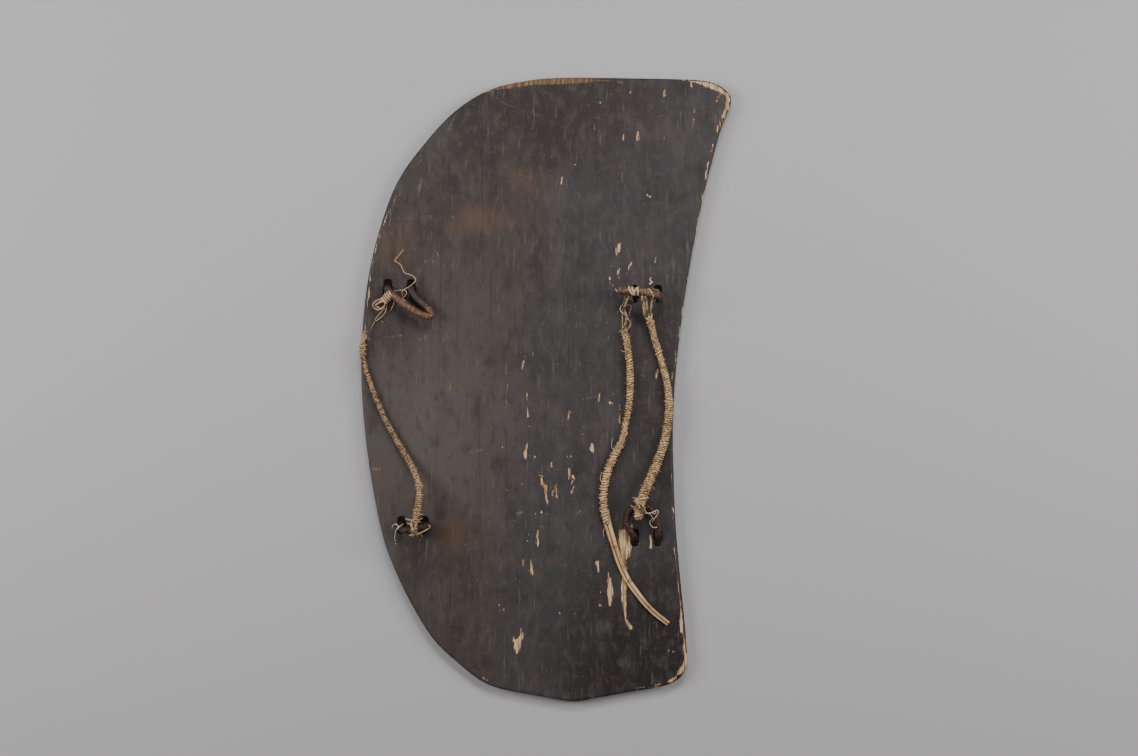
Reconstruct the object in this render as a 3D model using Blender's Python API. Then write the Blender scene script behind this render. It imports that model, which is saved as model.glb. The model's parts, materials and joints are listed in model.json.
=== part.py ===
"""A plank war shield with cane carrying loops and bound cane straps, seen from its back.

The shield lies on its front: X runs across it, Y up its height, Z out of its back.
Lengths are metres. The origin is on the resting plane, under the middle of the board.
"""

import math

import bmesh
import bpy
from mathutils import Vector

# Board
BOARD_HEIGHT = 1.000
BOARD_WIDTH = 0.593
BOARD_THICKNESS = 0.013
RIM_RADIUS = 0.005
FACE_BAY = 0.100

# Slots that the loops pass through
SLOT_WIDTH = 0.014
SLOT_HEIGHT = 0.029
SLOT_SPACING = 0.037
SLOT_CORNER = 0.006

# Places of the loops: height from the middle of the board, inset from its edge
UPPER_LEFT_ROW = 0.162
UPPER_RIGHT_ROW = 0.153
LOWER_LEFT_ROW = -0.217
LOWER_RIGHT_ROW = -0.237
LEFT_INSET = 0.053
UPPER_RIGHT_INSET = 0.063
LOWER_RIGHT_INSET = 0.049

# Cane of the loops
LOOP_CANE = 0.012
SLOT_CANE = 0.0104
STITCH_THICKNESS = 0.0075
STITCH_WEAR = 0.0004
LOOP_POINT_SPACING = 0.006

# Straps, ties and strands
STRAP_LEFT_CANE = 0.013
STRAP_INNER_CANE = 0.013
STRAP_OUTER_CANE = 0.016
STRAND_CANE = 0.0045
INNER_TIE_CANE = 0.004
LASHING_CANE = 0.0035
LASHING_SLANT = math.radians(60)
LASHING_EASE = 1.25
REMNANT_CANE = 0.013

# Room kept between pieces that touch
TOUCH_GAP = 0.0003
HOOK_GAP = 0.0008
STRAND_GAP = 0.0015
LASHING_GAP = 0.0012

# Heights worked out from the sizes above
FRONT_Z = STITCH_THICKNESS + TOUCH_GAP
BACK_Z = FRONT_Z + BOARD_THICKNESS

# The outline as shares of the width, from the left, and of the height, from the bottom
OUTLINE = [
    (0.540, 1.000), (0.720, 0.999), (0.880, 0.997), (0.942, 0.993), (0.977, 0.984),
    (0.998, 0.971), (0.999, 0.956), (0.989, 0.942), (0.968, 0.908), (0.934, 0.832),
    (0.913, 0.775), (0.878, 0.660), (0.853, 0.544), (0.844, 0.465), (0.843, 0.400),
    (0.851, 0.275), (0.872, 0.141), (0.881, 0.083), (0.882, 0.064), (0.870, 0.044),
    (0.848, 0.032), (0.812, 0.024), (0.724, 0.015), (0.640, 0.006), (0.570, 0.000),
    (0.478, 0.009), (0.346, 0.026), (0.257, 0.064), (0.192, 0.102), (0.132, 0.160),
    (0.086, 0.218), (0.054, 0.275), (0.022, 0.376), (0.005, 0.467), (0.000, 0.535),
    (0.004, 0.602), (0.019, 0.679), (0.049, 0.756), (0.097, 0.832), (0.165, 0.890),
    (0.251, 0.945), (0.348, 0.981), (0.446, 0.995),
]
OUTLINE_STEPS = 4

# The free part of each loop, from its left slot to its right slot: offsets from the
# middle of the two slots and the lift of the cane's centre above the back face
LOOP_BENDS = {
    "loop_upper_left": [
        (-0.0185, -0.001, 0.005), (-0.0130, -0.007, 0.012), (0.0000, -0.019, 0.020),
        (0.0215, -0.034, 0.025), (0.0420, -0.045, 0.024), (0.0520, -0.043, 0.019),
        (0.0460, -0.032, 0.013), (0.0320, -0.020, 0.0095), (0.0220, -0.009, 0.0085),
        (0.0185, -0.001, 0.004),
    ],
    "loop_upper_right": [
        (-0.0190, 0.000, 0.005), (-0.0240, 0.001, 0.013), (-0.0370, 0.003, 0.021),
        (-0.0420, 0.004, 0.032), (-0.0310, 0.003, 0.042), (-0.0080, 0.001, 0.046),
        (0.0100, -0.002, 0.043), (0.0190, -0.004, 0.032), (0.0200, -0.003, 0.017),
        (0.0185, 0.000, 0.005),
    ],
    "loop_lower_left": [
        (-0.0185, 0.000, 0.004), (-0.0190, -0.003, 0.013), (-0.0150, -0.005, 0.023),
        (-0.0060, -0.005, 0.030), (0.0060, -0.003, 0.031), (0.0170, -0.001, 0.028),
        (0.0230, 0.001, 0.019), (0.0210, 0.001, 0.010), (0.0185, 0.000, 0.004),
    ],
    "loop_lower_right": [
        (-0.0185, 0.001, 0.004), (-0.0250, 0.009, 0.0095), (-0.0320, 0.023, 0.0120),
        (-0.0290, 0.041, 0.0128), (-0.0190, 0.051, 0.0130), (-0.0060, 0.053, 0.0130),
        (0.0060, 0.046, 0.0128), (0.0140, 0.033, 0.0120), (0.0180, 0.018, 0.0105),
        (0.0185, 0.008, 0.0075), (0.0185, 0.001, 0.003),
    ],
}

# Routes of the straps: X, Y and the lift of the centre above the back face
STRAP_LEFT_ROUTE = [
    (-0.2915, 0.080, 0.0070), (-0.2925, 0.066, 0.0068), (-0.2925, 0.052, 0.0068),
    (-0.2883, 0.034, 0.0068), (-0.2811, 0.012, 0.0068), (-0.2739, -0.008, 0.0068),
    (-0.2643, -0.031, 0.0068), (-0.2531, -0.055, 0.0068), (-0.2331, -0.090, 0.0075),
    (-0.2163, -0.118, 0.0125), (-0.2056, -0.139, 0.0190), (-0.2000, -0.157, 0.0265),
    (-0.2000, -0.174, 0.0335), (-0.2030, -0.192, 0.0395), (-0.2055, -0.206, 0.0430),
    (-0.2070, -0.222, 0.0445), (-0.2078, -0.231, 0.0450),
]
STRAP_INNER_ROUTE = [
    (0.1245, 0.094, 0.0068), (0.1272, 0.084, 0.0068), (0.1302, 0.065, 0.0068),
    (0.1333, 0.038, 0.0068), (0.1341, 0.012, 0.0068), (0.1333, -0.014, 0.0068),
    (0.1302, -0.038, 0.0068), (0.1261, -0.058, 0.0068), (0.1205, -0.082, 0.0068),
    (0.1100, -0.103, 0.0068), (0.1005, -0.124, 0.0068), (0.0941, -0.146, 0.0068),
    (0.0912, -0.170, 0.0068), (0.0928, -0.193, 0.0068), (0.0973, -0.215, 0.0068),
    (0.1053, -0.242, 0.0068), (0.1165, -0.276, 0.0068), (0.1293, -0.304, 0.0068),
    (0.1478, -0.330, 0.0068), (0.1677, -0.353, 0.0068), (0.1949, -0.375, 0.0068),
]
STRAP_OUTER_ROUTE = [
    (0.1632, 0.116, 0.0180), (0.1680, 0.101, 0.0130), (0.1741, 0.077, 0.0090),
    (0.1805, 0.057, 0.0084), (0.1868, 0.034, 0.0083), (0.1925, 0.012, 0.0083),
    (0.1955, -0.013, 0.0083), (0.1955, -0.038, 0.0083), (0.1925, -0.064, 0.0083),
    (0.1868, -0.090, 0.0085), (0.1789, -0.111, 0.0110), (0.1702, -0.132, 0.0160),
    (0.1598, -0.154, 0.0225), (0.1510, -0.176, 0.0270), (0.1462, -0.195, 0.0282),
    (0.1455, -0.204, 0.0284),
]

# Strands that hang the outer strap on the upper right loop: how far to the side each leaves
# the strap's end, and where it crosses the loop, from the middle of the loop's slots
STRANDS = {
    "strand_left": (-0.0050, -0.0070),
    "strand_middle": (0.0002, 0.0010),
    "strand_right": (0.0050, 0.0105),
}
# The thin tie from the inner strap's end up to the upper right loop
INNER_TIE_ROUTE = [
    (-0.0350, -0.0560, 0.0090), (-0.0330, -0.0480, 0.0115), (-0.0330, -0.0380, 0.0165),
    (-0.0365, -0.0270, 0.0240), (-0.0345, -0.0170, 0.0320),
]
INNER_TIE_CROSSING = -0.0300

# The coil of old binding beside the upper left loop
REMNANT_ROUTE = [
    (-0.0225, -0.0165, 0.0110), (-0.0275, -0.0205, 0.0098), (-0.0335, -0.0250, 0.0082),
    (-0.0395, -0.0300, 0.0072),
]

COLLECTION_NAME = "war_shield"
DARK_WOOD = (0.050, 0.040, 0.034, 1.0)
RED_CANE = (0.130, 0.055, 0.030, 1.0)
PALE_CANE = (0.500, 0.330, 0.175, 1.0)


def clear_scene():
    """Removes what is in the scene, so that the model stands alone."""
    for item in list(bpy.data.objects):
        bpy.data.objects.remove(item, do_unlink=True)


def new_collection(name):
    collection = bpy.data.collections.new(name)
    bpy.context.scene.collection.children.link(collection)
    return collection


def new_material(name, colour, roughness):
    material = bpy.data.materials.new(name)
    material.use_nodes = True
    shader = material.node_tree.nodes["Principled BSDF"]
    shader.inputs["Base Color"].default_value = colour
    shader.inputs["Roughness"].default_value = roughness
    shader.inputs["Metallic"].default_value = 0.0
    return material


def curve_through(points, steps, closed=False):
    """A smooth curve through the given points, read at steps places from each to the next."""
    knots = [Vector(p) for p in points]
    total = len(knots)
    line = []
    for span in range(total if closed else total - 1):
        if closed:
            p0, p1, p2, p3 = (knots[(span + k) % total] for k in (-1, 0, 1, 2))
        else:
            p1, p2 = knots[span], knots[span + 1]
            p0 = knots[span - 1] if span > 0 else p1 * 2 - p2
            p3 = knots[span + 2] if span + 2 < total else p2 * 2 - p1
        for step in range(steps):
            t = step / steps
            line.append(0.5 * (2 * p1 + (p2 - p0) * t + (2 * p0 - 5 * p1 + 4 * p2 - p3) * t * t
                               + (3 * p1 - p0 - 3 * p2 + p3) * t * t * t))
    if not closed:
        line.append(knots[-1])
    return line


def smooth_path(points, count, closed=False):
    """Reads count evenly spaced points from the smooth curve through the given points."""
    dense = curve_through(points, 24, closed)
    if closed:
        dense.append(dense[0])
    marks = [0.0]
    for a, b in zip(dense, dense[1:]):
        marks.append(marks[-1] + (b - a).length)
    steps = count if closed else count - 1
    path = []
    at = 0
    for index in range(count):
        goal = marks[-1] * index / steps
        while at < len(dense) - 2 and marks[at + 1] < goal:
            at += 1
        share = (goal - marks[at]) / max(marks[at + 1] - marks[at], 1e-9)
        path.append(dense[at].lerp(dense[at + 1], min(share, 1.0)))
    return path


def path_length(points):
    return sum((b - a).length for a, b in zip(points, points[1:]))


def curve_object(name, collection, dimensions):
    data = bpy.data.curves.new(name, "CURVE")
    data.dimensions = dimensions
    item = bpy.data.objects.new(name, data)
    collection.objects.link(item)
    return item


def tube(name, collection, material, path, radius, closed=False, widths=None, sides=3):
    """A round cane along a path; widths are shares of the radius, one for each point."""
    item = curve_object(name, collection, "3D")
    data = item.data
    data.bevel_depth = radius
    data.bevel_resolution = sides
    data.use_fill_caps = not closed
    data.materials.append(material)
    spline = data.splines.new("POLY")
    spline.points.add(len(path) - 1)
    for index, (point, place) in enumerate(zip(spline.points, path)):
        point.co = (place[0], place[1], place[2], 1.0)
        point.radius = widths[index] if widths else 1.0
    spline.use_cyclic_u = closed
    spline.use_smooth = True
    return item


def made_mesh(item, collection):
    """Turns a curve object into a mesh object of the same name, with its seams welded."""
    bpy.context.view_layer.update()
    graph = bpy.context.evaluated_depsgraph_get()
    mesh = bpy.data.meshes.new_from_object(item.evaluated_get(graph))
    shape = bmesh.new()
    shape.from_mesh(mesh)
    bmesh.ops.remove_doubles(shape, verts=shape.verts, dist=0.00001)
    shape.to_mesh(mesh)
    shape.free()
    name = item.name
    place = item.matrix_world.copy()
    bpy.data.objects.remove(item, do_unlink=True)
    solid = bpy.data.objects.new(name, mesh)
    solid.matrix_world = place
    collection.objects.link(solid)
    return solid


def outline_points():
    """The outline as a closed line that fills the board's width and height exactly."""
    line = curve_through(OUTLINE, OUTLINE_STEPS, closed=True)
    left, right = min(p.x for p in line), max(p.x for p in line)
    low, high = min(p.y for p in line), max(p.y for p in line)
    return [Vector((((p.x - left) / (right - left) - 0.5) * BOARD_WIDTH,
                    ((p.y - low) / (high - low) - 0.5) * BOARD_HEIGHT)) for p in line]


def edge_at(outline, row, side):
    """Where the outline crosses a row: side -1 gives the left edge, side 1 the right."""
    crossings = []
    for a, b in zip(outline, outline[1:] + outline[:1]):
        if (a.y - row) * (b.y - row) <= 0 and a.y != b.y:
            crossings.append(a.x + (b.x - a.x) * (row - a.y) / (b.y - a.y))
    return min(crossings) if side < 0 else max(crossings)


def loop_middles(outline):
    """The point midway between the two slots of each loop."""
    return {
        "loop_upper_left": Vector((edge_at(outline, UPPER_LEFT_ROW, -1) + LEFT_INSET, UPPER_LEFT_ROW)),
        "loop_upper_right": Vector((edge_at(outline, UPPER_RIGHT_ROW, 1) - UPPER_RIGHT_INSET, UPPER_RIGHT_ROW)),
        "loop_lower_left": Vector((edge_at(outline, LOWER_LEFT_ROW, -1) + LEFT_INSET, LOWER_LEFT_ROW)),
        "loop_lower_right": Vector((edge_at(outline, LOWER_RIGHT_ROW, 1) - LOWER_RIGHT_INSET, LOWER_RIGHT_ROW)),
    }


def add_slot_cutter(name, collection, place):
    """A block with round corners that cuts one slot right through the board."""
    shape = bmesh.new()
    bmesh.ops.create_cube(shape, size=1.0)
    bmesh.ops.scale(shape, verts=shape.verts, vec=(SLOT_WIDTH, SLOT_HEIGHT, BOARD_THICKNESS * 2))
    upright = [e for e in shape.edges if abs(e.verts[0].co.z - e.verts[1].co.z) > BOARD_THICKNESS]
    bmesh.ops.bevel(shape, geom=upright, offset=min(SLOT_CORNER, SLOT_WIDTH * 0.45), segments=3,
                    profile=0.5, affect="EDGES", material=-1)
    mesh = bpy.data.meshes.new(name)
    shape.to_mesh(mesh)
    shape.free()
    cutter = bpy.data.objects.new(name, mesh)
    cutter.location = (place.x, place.y, (FRONT_Z + BACK_Z) / 2)
    cutter.hide_render = True
    cutter.display_type = "WIRE"
    collection.objects.link(cutter)


def add_board(collection, cutters, material, outline):
    """The plank: a filled outline with a rounded rim, its two faces cut into even bays."""
    item = curve_object("board", collection, "2D")
    data = item.data
    data.fill_mode = "BOTH"
    data.extrude = BOARD_THICKNESS / 2 - RIM_RADIUS
    data.bevel_depth = RIM_RADIUS
    data.bevel_resolution = 2
    data.offset = -RIM_RADIUS
    spline = data.splines.new("POLY")
    spline.points.add(len(outline) - 1)
    for point, place in zip(spline.points, outline):
        point.co = (place.x, place.y, 0.0, 1.0)
    spline.use_cyclic_u = True
    board = made_mesh(item, collection)
    board.location = (0.0, 0.0, (FRONT_Z + BACK_Z) / 2)
    board.data.materials.clear()
    board.data.materials.append(material)

    shape = bmesh.new()
    shape.from_mesh(board.data)
    bmesh.ops.dissolve_limit(shape, angle_limit=math.radians(0.5), verts=shape.verts, edges=shape.edges)
    for axis, length in ((0, BOARD_WIDTH), (1, BOARD_HEIGHT)):
        bays = max(2, round(length / FACE_BAY))
        for index in range(1, bays):
            normal = Vector((0.0, 0.0, 0.0))
            normal[axis] = 1.0
            place = normal * (length * (index / bays - 0.5))
            flats = [f for f in shape.faces if abs(f.normal.z) > 0.9999]
            around = {v for f in flats for v in f.verts} | {e for f in flats for e in f.edges} | set(flats)
            bmesh.ops.bisect_plane(shape, geom=list(around), plane_co=place, plane_no=normal)
    shape.to_mesh(board.data)
    shape.free()
    board.data.shade_smooth()
    board.data.set_sharp_from_angle(angle=math.radians(40))
    cut = board.modifiers.new("slots", "BOOLEAN")
    cut.operation = "DIFFERENCE"
    cut.operand_type = "COLLECTION"
    cut.collection = cutters


def loop_path(name, middle):
    """The centre line of a closed loop: free bend on the back, down both slots, front stitch."""
    half = SLOT_SPACING / 2
    stitch_z = STITCH_THICKNESS / 2 - STITCH_WEAR
    middle_z = (FRONT_Z + BACK_Z) / 2
    keys = [(middle.x + x, middle.y + y, BACK_Z + lift) for x, y, lift in LOOP_BENDS[name]]
    for share, height in ((1.0, middle_z), (0.95, FRONT_Z - 0.001), (0.66, stitch_z), (0.0, stitch_z),
                          (-0.66, stitch_z), (-0.95, FRONT_Z - 0.001), (-1.0, middle_z)):
        keys.append((middle.x + half * share, middle.y, height))
    rough = [Vector(k) for k in keys] + [Vector(keys[0])]
    return smooth_path(keys, max(24, round(path_length(rough) / LOOP_POINT_SPACING)), closed=True)


def add_loop(name, collection, material, path):
    """A closed cane loop, worn flat where its stitch meets the ground."""
    widths = [cane_share(p.z) for p in path]
    item = tube(name, collection, material, path, LOOP_CANE / 2, closed=True, widths=widths)
    loop = made_mesh(item, collection)
    for vertex in loop.data.vertices:
        vertex.co.z = max(vertex.co.z, 0.0)
    loop.data.shade_smooth()


def cane_share(height):
    """The loop's cane is full above the board, slimmer in the slots, slimmest in the stitch."""
    stitch_radius = STITCH_THICKNESS / 2 + STITCH_WEAR
    stops = [(0.0, stitch_radius), (FRONT_Z - 0.001, stitch_radius),
             (FRONT_Z + BOARD_THICKNESS / 2, SLOT_CANE / 2), (BACK_Z, SLOT_CANE / 2),
             (BACK_Z + 0.006, LOOP_CANE / 2)]
    for (z0, r0), (z1, r1) in zip(stops, stops[1:]):
        if height < z1:
            share = max(0.0, (height - z0) / (z1 - z0))
            return (r0 + (r1 - r0) * share) / (LOOP_CANE / 2)
    return 1.0


def lifted(route, middle=None):
    """Route points as places over the back face, from the board's middle or a loop's."""
    shift = middle if middle else Vector((0.0, 0.0))
    return [Vector((x + shift.x, y + shift.y, BACK_Z + lift)) for x, y, lift in route]


def hook_round(path, across, cane):
    """Points over the top of a loop's bend, at the crossing nearest to the given X."""
    top = max(range(len(path)), key=lambda k: (path[k].z > BACK_Z + LOOP_CANE, -abs(path[k].x - across)))
    ahead = (path[(top + 1) % len(path)] - path[top - 1]).normalized()
    if ahead.x < 0:
        ahead = -ahead
    up = (Vector((0.0, 0.0, 1.0)) - ahead * ahead.z).normalized()
    north = up.cross(ahead)
    reach = (LOOP_CANE + cane) / 2 + HOOK_GAP
    turn = [math.radians(a) for a in range(180, -31, -30)]
    return [path[top] + north * (reach * math.cos(a)) + up * (reach * math.sin(a)) for a in turn]


def add_route(name, collection, material, keys, cane, pitch=2.0, widths=None):
    """A cane along a smooth curve through the given places, a point every pitch diameters."""
    count = max(5, round(path_length(keys) / (cane * pitch)) + 1)
    path = smooth_path(keys, count)
    shares = [1.0] * count
    if widths:
        shares = [widths[0] + (widths[1] - widths[0]) * k / (count - 1) for k in range(count)]
    item = tube(name, collection, material, path, cane / 2, widths=shares)
    made_mesh(item, collection).data.shade_smooth()


def crossing(loop, strap):
    """Where a strap crosses a loop, seen from above: a place and a direction on each of them."""
    dense = smooth_path(strap, 8 * len(strap))
    crown = [k for k, p in enumerate(loop) if p.z > BACK_Z + LOOP_CANE / 2]
    pairs = ((a, b) for a in crown for b in range(1, len(dense) - 1))
    a, b = min(pairs, key=lambda pair: (loop[pair[0]].xy - dense[pair[1]].xy).length - loop[pair[0]].z * 0.5)
    along_loop = (loop[(a + 1) % len(loop)] - loop[a - 1]).xy.normalized()
    along_strap = (dense[b + 1] - dense[b - 1]).xy.normalized()
    return loop[a], along_loop, dense[b], along_strap


def add_lashing(name, collection, material, loop, strap, strap_cane):
    """A closed turn of cane, slanting over the strap and under the loop it is tied to."""
    below, along_loop, above, along_strap = crossing(loop, strap)
    slant = Vector((math.cos(LASHING_SLANT), -math.sin(LASHING_SLANT)))
    room = LASHING_CANE / 2 + LASHING_GAP
    strap_high, loop_high = strap_cane / 2 + room, LOOP_CANE / 2 + room
    strap_wide = strap_cane / 2 / abs(slant.cross(along_strap)) * LASHING_EASE + room
    loop_wide = LOOP_CANE / 2 / abs(slant.cross(along_loop)) * LASHING_EASE + room
    shoulder = math.sqrt(0.5)
    side = [
        (0.0, above.z + strap_high), (strap_wide * shoulder, above.z + strap_high * shoulder),
        (strap_wide, above.z), (loop_wide, below.z),
        (loop_wide * shoulder, below.z - loop_high * shoulder), (0.0, below.z - loop_high),
    ]
    turn = side + [(-across, z) for across, z in reversed(side[1:-1])]
    keys = [(above.x + across * slant.x, below.y + across * slant.y, z) for across, z in turn]
    item = tube(name, collection, material, smooth_path(keys, 32, closed=True), LASHING_CANE / 2,
                closed=True, sides=2)
    made_mesh(item, collection).data.shade_smooth()


def main():
    clear_scene()
    shield = new_collection(COLLECTION_NAME)
    cutters = new_collection("cutters")
    wood = new_material("dark_board_wood", DARK_WOOD, 0.55)
    loop_cane = new_material("red_loop_cane", RED_CANE, 0.50)
    strap_cane = new_material("pale_strap_cane", PALE_CANE, 0.60)
    outline = outline_points()
    middles = loop_middles(outline)

    for name, middle in middles.items():
        for side in (-1, 1):
            add_slot_cutter(f"slot_{name}_{side}", cutters, Vector((middle.x + side * SLOT_SPACING / 2, middle.y)))
    add_board(shield, cutters, wood, outline)
    paths = {name: loop_path(name, middle) for name, middle in middles.items()}
    for name, path in paths.items():
        add_loop(name, shield, loop_cane, path)

    left_route, outer_route = lifted(STRAP_LEFT_ROUTE), lifted(STRAP_OUTER_ROUTE)
    add_route("strap_left", shield, strap_cane, left_route, STRAP_LEFT_CANE)
    add_route("strap_right_inner", shield, strap_cane, lifted(STRAP_INNER_ROUTE), STRAP_INNER_CANE)
    add_route("strap_right_outer", shield, strap_cane, outer_route, STRAP_OUTER_CANE)

    upper_right = middles["loop_upper_right"]
    end, before = outer_route[0], outer_route[1]
    onward = (end - before).normalized()
    sideways = onward.cross(Vector((0.0, 0.0, 1.0))).normalized()
    for name, (aside, crossing) in STRANDS.items():
        root = end + onward * STRAND_GAP + sideways * aside
        keys = [root, root + onward * STRAND_CANE]
        keys += hook_round(paths["loop_upper_right"], upper_right.x + crossing, STRAND_CANE)
        add_route(name, shield, strap_cane, keys, STRAND_CANE, pitch=0.7)
    keys = lifted(INNER_TIE_ROUTE, upper_right)
    keys += hook_round(paths["loop_upper_right"], upper_right.x + INNER_TIE_CROSSING, INNER_TIE_CANE)
    add_route("inner_strap_tie", shield, strap_cane, keys, INNER_TIE_CANE, pitch=0.8)

    add_route("binding_remnant", shield, strap_cane, lifted(REMNANT_ROUTE, middles["loop_upper_left"]),
              REMNANT_CANE, pitch=0.6, widths=(0.75, 1.0))
    add_lashing("tie_lower_left", shield, strap_cane, paths["loop_lower_left"], left_route, STRAP_LEFT_CANE)
    add_lashing("tie_lower_right", shield, strap_cane, paths["loop_lower_right"], outer_route,
                STRAP_OUTER_CANE)


main()
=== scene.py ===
# %% [markdown]
# # A plank war shield with cane straps
#
# The shield is one dark plank, cut to a crescent shape and seen from its back. Four cane
# loops are laced through pairs of slots, and stiff straps of bound cane hang between them.
# The plank, the loops and the straps are solids already, at their real places. This script
# dresses them: it remakes each solid with the relief, the fibres and the finish it has on
# the real shield, and every new piece takes the place of the solid that it stands for.

import json
import math
import random

import bmesh
import bpy
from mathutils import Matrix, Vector, kdtree, noise

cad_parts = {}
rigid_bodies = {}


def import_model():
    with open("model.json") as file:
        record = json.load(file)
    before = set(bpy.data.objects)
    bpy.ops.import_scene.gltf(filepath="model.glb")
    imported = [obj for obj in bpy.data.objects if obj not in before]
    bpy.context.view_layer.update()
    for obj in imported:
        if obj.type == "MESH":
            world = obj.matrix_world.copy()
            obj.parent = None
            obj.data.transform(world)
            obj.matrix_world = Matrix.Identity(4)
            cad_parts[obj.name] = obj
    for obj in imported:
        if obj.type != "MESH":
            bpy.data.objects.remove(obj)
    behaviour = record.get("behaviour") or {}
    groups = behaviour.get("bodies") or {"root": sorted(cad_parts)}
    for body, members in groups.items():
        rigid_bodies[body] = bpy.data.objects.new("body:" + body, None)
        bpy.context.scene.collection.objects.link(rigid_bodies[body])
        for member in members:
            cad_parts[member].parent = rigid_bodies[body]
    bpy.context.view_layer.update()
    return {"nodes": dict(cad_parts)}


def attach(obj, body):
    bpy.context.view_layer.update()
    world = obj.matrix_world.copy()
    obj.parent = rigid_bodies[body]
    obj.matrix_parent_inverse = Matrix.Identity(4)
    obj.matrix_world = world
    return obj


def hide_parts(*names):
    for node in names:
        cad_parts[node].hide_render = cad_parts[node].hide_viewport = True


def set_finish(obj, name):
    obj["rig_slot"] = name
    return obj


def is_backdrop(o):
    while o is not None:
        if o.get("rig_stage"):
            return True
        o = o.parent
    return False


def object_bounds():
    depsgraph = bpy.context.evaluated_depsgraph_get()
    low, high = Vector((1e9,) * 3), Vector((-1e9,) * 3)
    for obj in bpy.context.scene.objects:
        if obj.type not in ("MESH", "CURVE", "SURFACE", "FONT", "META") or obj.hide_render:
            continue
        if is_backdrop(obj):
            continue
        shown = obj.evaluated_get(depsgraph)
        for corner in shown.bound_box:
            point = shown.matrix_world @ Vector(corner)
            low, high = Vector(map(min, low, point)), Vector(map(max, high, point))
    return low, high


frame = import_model()
print("solids:", ", ".join(sorted(frame["nodes"])))

# %% [markdown]
# The shield lies on its front, and the camera hangs straight over it. A camera with no
# turn looks down the Z axis with Y up in the picture, so it only needs a place and a lens.
# The lens is worked out from how much of the floor the picture has to take in.

# %% Camera
BACK_Z = 0.0208
FRONT_Z = 0.0078
PICTURE_WIDTH = 1.8208
CAMERA_HEIGHT = 2.6

camera_data = bpy.data.cameras.new("camera")
camera_data.sensor_width = 36.0
camera_data.lens = camera_data.sensor_width * CAMERA_HEIGHT / PICTURE_WIDTH
camera = bpy.data.objects.new("camera", camera_data)
camera.location = (0.0365, 0.0184, BACK_Z + CAMERA_HEIGHT)
bpy.context.scene.collection.objects.link(camera)
bpy.context.scene.camera = camera
print("lens:", round(camera_data.lens, 1), "mm")

# %% [markdown]
# Cane bends in smooth curves, so each strap and loop follows a curve through a few chosen
# points. Two helpers read such a curve: one at even shares of each span, and one at evenly
# spaced places along its whole length, which a winding needs to look regular.


# %% Smooth curves
def curve_through(points, steps, closed=False):
    """A smooth curve through the given points, read at steps places from each to the next."""
    knots = [Vector(p) for p in points]
    total = len(knots)
    line = []
    for span in range(total if closed else total - 1):
        if closed:
            p0, p1, p2, p3 = (knots[(span + k) % total] for k in (-1, 0, 1, 2))
        else:
            p1, p2 = knots[span], knots[span + 1]
            p0 = knots[span - 1] if span > 0 else p1 * 2 - p2
            p3 = knots[span + 2] if span + 2 < total else p2 * 2 - p1
        for step in range(steps):
            t = step / steps
            line.append(0.5 * (2 * p1 + (p2 - p0) * t + (2 * p0 - 5 * p1 + 4 * p2 - p3) * t * t
                               + (3 * p1 - p0 - 3 * p2 + p3) * t * t * t))
    if not closed:
        line.append(knots[-1])
    return line


def marks_along(line):
    """How far along a line each of its points is."""
    marks = [0.0]
    for a, b in zip(line, line[1:]):
        marks.append(marks[-1] + (b - a).length)
    return marks


def smooth_path(points, count, closed=False):
    """Reads count evenly spaced points from the smooth curve through the given points."""
    dense = curve_through(points, 24, closed)
    if closed:
        dense.append(dense[0])
    marks = marks_along(dense)
    steps = count if closed else count - 1
    path = []
    at = 0
    for index in range(count):
        goal = marks[-1] * index / steps
        while at < len(dense) - 2 and marks[at + 1] < goal:
            at += 1
        share = (goal - marks[at]) / max(marks[at + 1] - marks[at], 1e-9)
        path.append(dense[at].lerp(dense[at + 1], min(share, 1.0)))
    return path


def even_path(points, spacing, closed=False):
    """The smooth curve through the points, read about every spacing metres."""
    rough = curve_through(points, 8, closed)
    return smooth_path(points, max(4, round(marks_along(rough)[-1] / spacing) + 1), closed)


def way_at(path, at):
    """The way that a path runs at one of its points."""
    return path[min(at + 1, len(path) - 1)] - path[max(at - 1, 0)]


def upright_to(ahead):
    """The direction square to the one ahead that points up the most."""
    return (Vector((0.0, 0.0, 1.0)) - ahead * ahead.z).normalized()


def wobble(a, b=0.0, c=0.0):
    """A smooth noise around nought, which is the same in each run."""
    return noise.noise(Vector((a, b, c)))


# %% [markdown]
# A cane is a tube along such a curve. A curve object with a round bevel makes one with a
# radius of its own at every point. It is turned into a mesh, whose points then come ring
# after ring, so that a winding can be pressed into it point by point. A single cane is read
# every 1.2 mm, and its fibres twist once in 30 mm.


# %% Round cane
MM = 0.001
CANE_STEP = 0.0012
SINGLE_PITCH = 0.03


def show(name, mesh):
    """Puts a finished mesh into the scene, smooth, with its object at the origin."""
    item = bpy.data.objects.new(name, mesh)
    bpy.context.scene.collection.objects.link(item)
    mesh.shade_smooth()
    return item


def cane_mesh(name, path, radii, sides=12, closed=False):
    """A round cane along a path, open at its ends, its points in rings of sides points."""
    data = bpy.data.curves.new(name, "CURVE")
    data.dimensions = "3D"
    data.bevel_depth = 1.0
    data.bevel_resolution = sides // 2 - 2
    spline = data.splines.new("POLY")
    spline.points.add(len(path) - 1)
    for point, place, radius in zip(spline.points, path, radii):
        point.co = (*place, 1.0)
        point.radius = radius
    spline.use_cyclic_u = closed
    guide = bpy.data.objects.new(name, data)
    bpy.context.scene.collection.objects.link(guide)
    bpy.context.view_layer.update()
    graph = bpy.context.evaluated_depsgraph_get()
    mesh = bpy.data.meshes.new_from_object(guide.evaluated_get(graph))
    bpy.data.objects.remove(guide)
    mesh.name = name
    return mesh


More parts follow.
